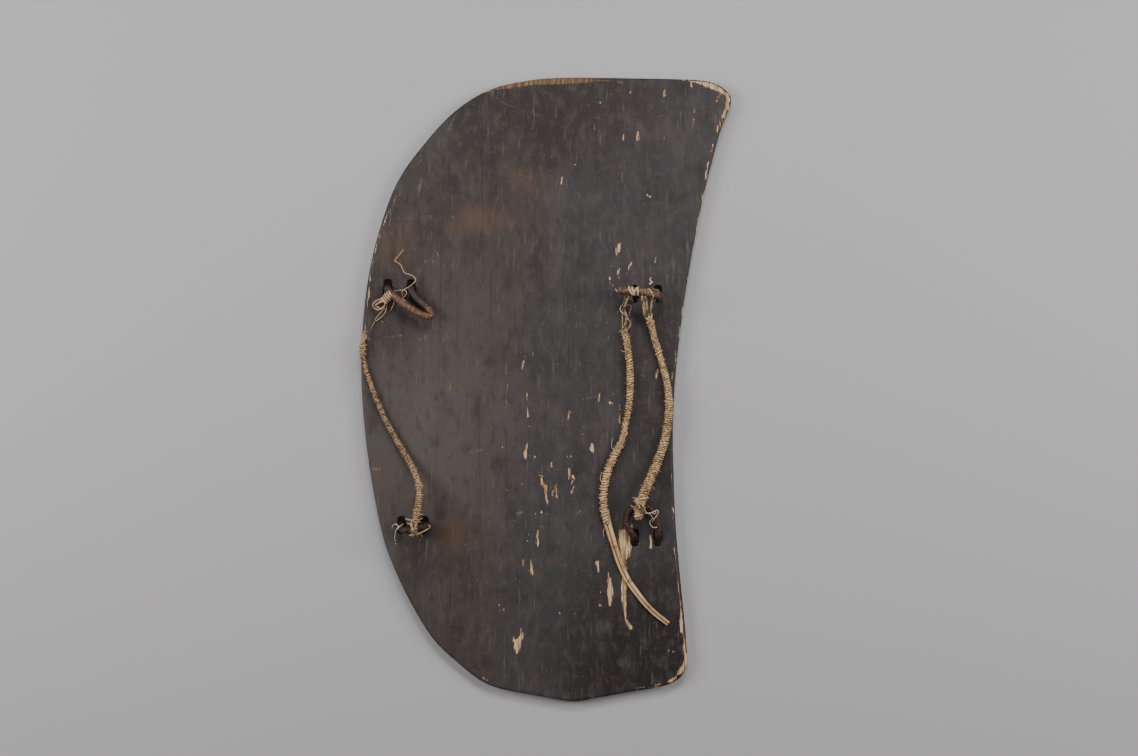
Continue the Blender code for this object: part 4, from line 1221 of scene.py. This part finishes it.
def new_finish(name, specular, roughness):
    """A new material, its tree and its shader, with its gloss on the shader's own sockets."""
    material = bpy.data.materials.new(name)
    material.use_nodes = True
    shader = material.node_tree.nodes["Principled BSDF"]
    shader.inputs["Specular IOR Level"].default_value = specular
    shader.inputs["Roughness"].default_value = roughness
    return material, material.node_tree, shader


# %% [markdown]
# The plank was blackened and has darkened with smoke and handling, warmer on the bulging side
# than towards the hollow. The finish starts from those two browns, lays on lighter and darker
# fields, rusty blotches, the fine lines of the grain, scuffs and specks, and at last the wood
# that shows where the dark face is gone. Two of the darker fields are painted shade: one
# darkens the lower right of the plank, and one is the shadow of the upper left loop. Each
# layer is a mix of the one below with one colour.

# %% Board finish
dark_wood, tree, shader = new_finish("dark_board_wood", 0.25, 0.58)
place = put(tree, "TexCoord", {}).outputs["Object"]
parts = put(tree, "SeparateXYZ", {"Vector": place})
across, up = parts.outputs[0], parts.outputs[1]
slow = grain_noise(tree, place, (9.0, 5.0, 1.0), 4.0)
broad = grain_noise(tree, place, (26.0, 11.0, 1.0), 5.0, shift=3.0)
border = sums(tree, "ADD", across, step(tree, up, 0.28, -0.06, 0.072))
border = sums(tree, "ADD", border, sums(tree, "MULTIPLY", slow, -0.09))
zone = step(tree, border, -0.065, -0.010)
colour = mix(tree, zone, (0.0500, 0.0390, 0.0335), (0.0435, 0.0390, 0.0405))
light_field = sums(tree, "MULTIPLY", blot(tree, place, (-0.190, -0.06), (0.20, 0.32)), 0.95)
colour = mix(tree, light_field, colour, (0.094, 0.075, 0.068))
# Middle of each darker field, how wide and high it reaches, its share and its colour
PAINTED_SHADE_BLACK, SMOKED, DARK_BROWN = (0.0105, 0.0070, 0.0070), (0.026, 0.0190, 0.0170), (0.027, 0.0210, 0.0195)
DARKER = (
    # The nearly black field at the bottom right is painted shade, making the plank darker towards its lower
    # right end
    ((0.19, -0.47), (0.26, 0.30), 0.80, PAINTED_SHADE_BLACK), ((-0.03, 0.52), (0.34, 0.24), 0.85, SMOKED),
    ((-0.255, 0.13), (0.09, 0.14), 0.60, DARK_BROWN), ((-0.175, -0.26), (0.10, 0.12), 0.60, DARK_BROWN),
    ((0.18, 0.0), (0.08, 0.22), 0.60, DARK_BROWN), ((-0.04, 0.40), (0.12, 0.10), 0.40, DARK_BROWN),
    # The field at (-0.215, 0.115) is the painted shadow that the upper left loop casts on the plank
    ((-0.18, 0.27), (0.08, 0.09), 0.30, DARK_BROWN), ((-0.215, 0.115), (0.035, 0.022), 0.60, DARK_BROWN),
)
for middle, reach, share, shade in DARKER:
    colour = lay(tree, colour, shade, blot(tree, place, middle, reach), 0.0, 0.7, share)
RUSTY = (
    ((-0.11, 0.27), (0.10, 0.055)), ((-0.150, -0.235), (0.07, 0.06)), ((-0.03, 0.335), (0.05, 0.05)),
    ((-0.24, 0.23), (0.05, 0.09)),
)
for middle, reach in RUSTY:
    rust = sums(tree, "MULTIPLY", blot(tree, place, middle, reach), broad)
    colour = lay(tree, colour, (0.105, 0.058, 0.036), rust, 0.12, 0.50, 0.75)
mottle = grain_noise(tree, place, (75.0, 38.0, 1.0), 5.0, shift=15.0)
warmth = grain_noise(tree, place, (48.0, 60.0, 1.0), 4.0, shift=21.0)
for layer, high, low in ((broad, 0.40, 0.50), (mottle, 0.42, 0.42)):
    colour = lay(tree, colour, (0.080, 0.067, 0.060), layer, 0.50, 0.70, high)
    colour = lay(tree, colour, (0.023, 0.0185, 0.0178), layer, 0.47, 0.30, low)
colour = lay(tree, colour, (0.078, 0.048, 0.034), warmth, 0.54, 0.72, 0.50)
lines = grain_noise(tree, place, (230.0, 4.0, 1.0), 4.0, shift=7.0)
fine_lines = grain_noise(tree, place, (1100.0, 20.0, 1.0), 3.0, shift=1.0)
colour = lay(tree, colour, (0.018, 0.014, 0.013), lines, 0.58, 0.74, 0.50)
colour = lay(tree, colour, (0.100, 0.084, 0.072), fine_lines, 0.52, 0.75, 0.14)
# Turn of each set of scuffs in radians, its shift, and its waves in a metre each way
SCUFF_SETS = (
    (0.9, 2.0, 190.0, 20.0), (-0.5, 6.0, 230.0, 17.0), (1.45, 4.0, 210.0, 14.0), (0.1, 8.0, 260.0, 30.0),
)
for turn, shift, thin, long in SCUFF_SETS:
    scuff = grain_noise(tree, place, (thin, long, 1.0), 3.0, turn=turn, shift=shift)
    field = grain_noise(tree, place, (17.0, 17.0, 1.0), 2.0, shift=shift)
    scuff = sums(tree, "MULTIPLY", step(tree, scuff, 0.60, 0.72), step(tree, field, 0.50, 0.62, 0.42))
    colour = mix(tree, scuff, colour, (0.140, 0.124, 0.112))
dots = grain_noise(tree, place, (430.0, 380.0, 1.0), 1.0, shift=9.0)
colour = lay(tree, colour, (0.20, 0.170, 0.135), dots, 0.70, 0.77, 0.70)
motes = grain_noise(tree, place, (1300.0, 1100.0, 1.0), 0.0, shift=5.0)
colour = lay(tree, colour, (0.16, 0.140, 0.122), motes, 0.70, 0.84, 0.55)
flecks = grain_noise(tree, place, (700.0, 260.0, 1.0), 1.0, shift=17.0)
flecks = sums(tree, "MULTIPLY", step(tree, flecks, 0.68, 0.74, 0.7), step(tree, warmth, 0.52, 0.60))
colour = mix(tree, flecks, colour, (0.24, 0.155, 0.085))

# %% Bare wood where the dark face is gone
bare = put(tree, "Attribute", {}, attribute_name="wear").outputs["Vector"]
bare_parts = put(tree, "SeparateXYZ", {"Vector": bare})
splinter = grain_noise(tree, place, (750.0, 75.0, 1.0), 4.0, shift=11.0)
tatter = sums(tree, "MULTIPLY", sums(tree, "SUBTRACT", splinter, 0.53), 9.0)
pale_in = sums(tree, "ADD", bare_parts.outputs[0], tatter)
brown_in = sums(tree, "ADD", bare_parts.outputs[1], tatter)
streaks = grain_noise(tree, place, (270.0, 16.0, 1.0), 4.0, shift=13.0)
pale = lay(tree, (0.240, 0.120, 0.052), (0.610, 0.410, 0.220), streaks, 0.40, 0.54)
pale = lay(tree, pale, (0.76, 0.56, 0.34), fine_lines, 0.46, 0.66, 0.65)
pale = lay(tree, pale, (0.120, 0.060, 0.028), splinter, 0.40, 0.28, 0.70)
brown = lay(tree, (0.105, 0.050, 0.024), (0.260, 0.150, 0.078), streaks, 0.40, 0.66)
scuff_in = sums(tree, "ADD", bare_parts.outputs[2], tatter)
colour = lay(tree, colour, (0.150, 0.145, 0.130), scuff_in, -0.9, 0.9, 0.75)
colour = lay(tree, colour, brown, brown_in, -0.9, 0.5)
colour = lay(tree, colour, (0.090, 0.043, 0.022), pale_in, -1.1, 0.1, 0.85)
colour = lay(tree, colour, pale, pale_in, 0.05, 0.65)
tree.links.new(colour, shader.inputs["Base Color"])
height = sums(tree, "ADD", sums(tree, "MULTIPLY", lines, 0.5), sums(tree, "MULTIPLY", fine_lines, 0.35))
height = sums(tree, "SUBTRACT", height, step(tree, pale_in, -0.3, 0.5, 0.7))
bump = put(tree, "Bump", {"Height": height, "Strength": 0.55, "Distance": 0.0006})
tree.links.new(bump.outputs[0], shader.inputs["Normal"])
print("nodes of the board finish:", len(tree.nodes))

# %% [markdown]
# Split cane is a flat strip with straight fibres. The winding attribute unrolls it, so the
# fibres are a noise stretched along the strip, each turn has a shade of its own, and the
# lines between the turns stay dark, partly as painted shade in the creases. The sides and
# underside of wound cane are darkened too, as painted shade. One function makes every cane
# finish from three shades: the loops' is redder and glossier than the straps'. A blot of
# painted shade or of paler cane has a middle and a reach, as the fields of the board have.


# %% Cane finishes
def cane_finish(name, dark, middle, light, roughness, specular, painted_shade_blots=(), faded=(), lines=0.85):
    """A material of split cane in three shades, with painted shade in the lines between the turns and on the
    lower flanks.
    """
    material, tree, shader = new_finish(name, specular, roughness)
    winding = put(tree, "Attribute", {}, attribute_name="winding").outputs["Vector"]
    groove = put(tree, "Attribute", {}, attribute_name="groove").outputs["Fac"]
    place = put(tree, "TexCoord", {}).outputs["Object"]
    shade = put(tree, "SeparateXYZ", {"Vector": winding}).outputs[2]
    fibres = grain_noise(tree, winding, (35.0, 2600.0, 3.0), 3.0)
    soil = grain_noise(tree, place, (70.0, 70.0, 70.0), 3.0)
    mottle = grain_noise(tree, place, (320.0, 320.0, 320.0), 2.0)
    colour = lay(tree, middle, light, shade, -0.45, 0.45)
    for spot, reach in faded:
        colour = lay(tree, colour, light, blot(tree, place, spot, reach), 0.05, 0.45, 0.9)
    colour = lay(tree, colour, middle, fibres, 0.56, 0.36, 0.75)
    colour = lay(tree, colour, dark, soil, 0.52, 0.68, 0.60)
    colour = lay(tree, colour, dark, fibres, 0.40, 0.26, 0.80)
    wound = step(tree, groove, -0.8, -0.2)
    colour = mix(tree, sums(tree, "MULTIPLY", wound, step(tree, mottle, 0.50, 0.58, 0.66)), colour, dark)
    colour = mix(tree, sums(tree, "MULTIPLY", wound, step(tree, mottle, 0.47, 0.40, 0.75)), colour, light)
    # Painted shade: the lines between the turns and the lower flanks of wound cane are darkened
    colour = lay(tree, colour, [c * 0.30 for c in dark], groove, 0.08, 0.75, lines)
    # Painted shade, near black, where a loop bends down into a slot or runs under its other leg
    for spot, reach in painted_shade_blots:
        colour = lay(tree, colour, (0.030, 0.025, 0.024), blot(tree, place, spot, reach), 0.15, 0.55, 0.8)
    tree.links.new(colour, shader.inputs["Base Color"])
    bump = put(tree, "Bump", {"Height": fibres, "Strength": 0.5, "Distance": 0.0004})
    tree.links.new(bump.outputs[0], shader.inputs["Normal"])
    return material


left_cane = cane_finish(
    "left_strap_cane", (0.085, 0.042, 0.020), (0.205, 0.122, 0.062), (0.520, 0.360, 0.205), 0.66, 0.15,
    faded=[((-0.208, -0.172), (0.040, 0.095))])
inner_cane = cane_finish(
    "inner_strap_cane", (0.135, 0.062, 0.028), (0.440, 0.252, 0.118), (0.780, 0.535, 0.290), 0.66, 0.15,
    faded=[((0.098, -0.150), (0.050, 0.090))])
outer_cane = cane_finish(
    "outer_strap_cane", (0.130, 0.060, 0.024), (0.395, 0.238, 0.108), (0.780, 0.550, 0.305), 0.64, 0.15)
tie_cane = cane_finish(
    "tie_cane", (0.140, 0.070, 0.033), (0.400, 0.250, 0.135), (0.680, 0.490, 0.310), 0.64, 0.15)
brown_cane = cane_finish(
    "brown_loop_cane", (0.018, 0.0095, 0.0075), (0.056, 0.028, 0.019), (0.105, 0.052, 0.032), 0.5, 0.25)
# The blot on the upper right loop is painted shade where its bar bends down into the right slot
red_cane = cane_finish(
    "red_loop_cane", (0.050, 0.021, 0.012), (0.165, 0.078, 0.043), (0.300, 0.155, 0.088), 0.38, 0.4,
    painted_shade_blots=[((0.187, 0.150), (0.013, 0.020))], lines=0.45)
# The blots on the upper left loop are painted shade on the leg that lies under the other one and at the left
# slot
upper_left_loop_finish = cane_finish(
    "upper_left_loop_cane", (0.070, 0.030, 0.019), (0.135, 0.058, 0.036), (0.240, 0.118, 0.070), 0.45, 0.35,
    painted_shade_blots=[((-0.213, 0.154), (0.022, 0.021)), ((-0.199, 0.141), (0.019, 0.019)),
          ((-0.252, 0.157), (0.014, 0.016))], lines=0.5)
pale_string = cane_finish(
    "pale_string", (0.32, 0.23, 0.16), (0.58, 0.46, 0.35), (0.80, 0.68, 0.54), 0.8, 0.1)
cream_cane = cane_finish(
    "cream_cane", (0.200, 0.110, 0.055), (0.500, 0.350, 0.200), (0.760, 0.590, 0.400), 0.60, 0.2)
floor_paint, tree, shader = new_finish("floor_paint", 0.2, 0.9)
shader.inputs["Base Color"].default_value = (0.465, 0.450, 0.458, 1.0)
FINISH = {
    "board_plank": dark_wood, "strap_left_bound": left_cane, "strap_right_inner_bound": inner_cane,
    "strap_right_outer_bound": outer_cane, "loop_upper_left_bound": upper_left_loop_finish,
    "loop_upper_right_bound": red_cane, "loop_lower_left_bound": brown_cane,
    "loop_lower_right_bound": brown_cane, "lower_left_string": pale_string,
    "lower_right_string": pale_string, "upper_right_tufts": pale_string,
    "inner_strap_fibres": inner_cane, "strand_left_cane": cream_cane,
    "strand_middle_cane": cream_cane, "strand_right_cane": cream_cane, "upper_right_wraps": cream_cane,
}
for item in bpy.context.scene.objects:
    if item.type == "MESH" and "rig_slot" in item and item.name not in frame["nodes"]:
        item.data.materials.clear()
        item.data.materials.append(FINISH.get(item.name, tie_cane))
print("finishes:", len(FINISH))

# %% [markdown]
# The shield lies on a plain pale floor, wide enough to fill the picture from every side. Three
# large soft lamps and a pale world light it, the left one a little stronger than the right.

# %% Floor
FLOOR_REACH = 12.0
floor_shape = bmesh.new()
bmesh.ops.create_grid(floor_shape, x_segments=2, y_segments=2, size=FLOOR_REACH)
floor_mesh = bpy.data.meshes.new("floor")
floor_shape.to_mesh(floor_mesh)
floor_shape.free()
floor = show("floor", floor_mesh)
floor.data.materials.append(floor_paint)
floor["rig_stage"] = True
print("floor:", 2 * FLOOR_REACH, "m wide")


# %% Lights
def soft_light(name, place, size, power):
    """A soft lamp that faces the shield, with its power in watts."""
    data = bpy.data.lights.new(name, "AREA")
    data.shape = "RECTANGLE"
    data.size, data.size_y = size
    data.energy = power
    light = bpy.data.objects.new(name, data)
    light.location = place
    light.rotation_mode = "QUATERNION"
    light.rotation_quaternion = Vector(place).to_track_quat("Z", "Y")
    bpy.context.scene.collection.objects.link(light)


soft_light("left_light", (-2.0, 0.4, 1.7), (1.0, 1.4), 42.0)
soft_light("right_light", (2.0, 0.4, 1.7), (1.0, 1.4), 36.0)
soft_light("far_light", (0.2, 1.9, 2.3), (1.1, 0.7), 37.0)
world = bpy.data.worlds.new("studio")
world.use_nodes = True
world.node_tree.nodes["Background"].inputs["Color"].default_value = (0.8, 0.8, 0.82, 1.0)
world.node_tree.nodes["Background"].inputs["Strength"].default_value = 0.20
bpy.context.scene.world = world
print("lamps:", len(bpy.data.lights))

# %% Sizes kept
low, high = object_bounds()
print("visual box:", [round(b - a, 4) for a, b in zip(low, high)])
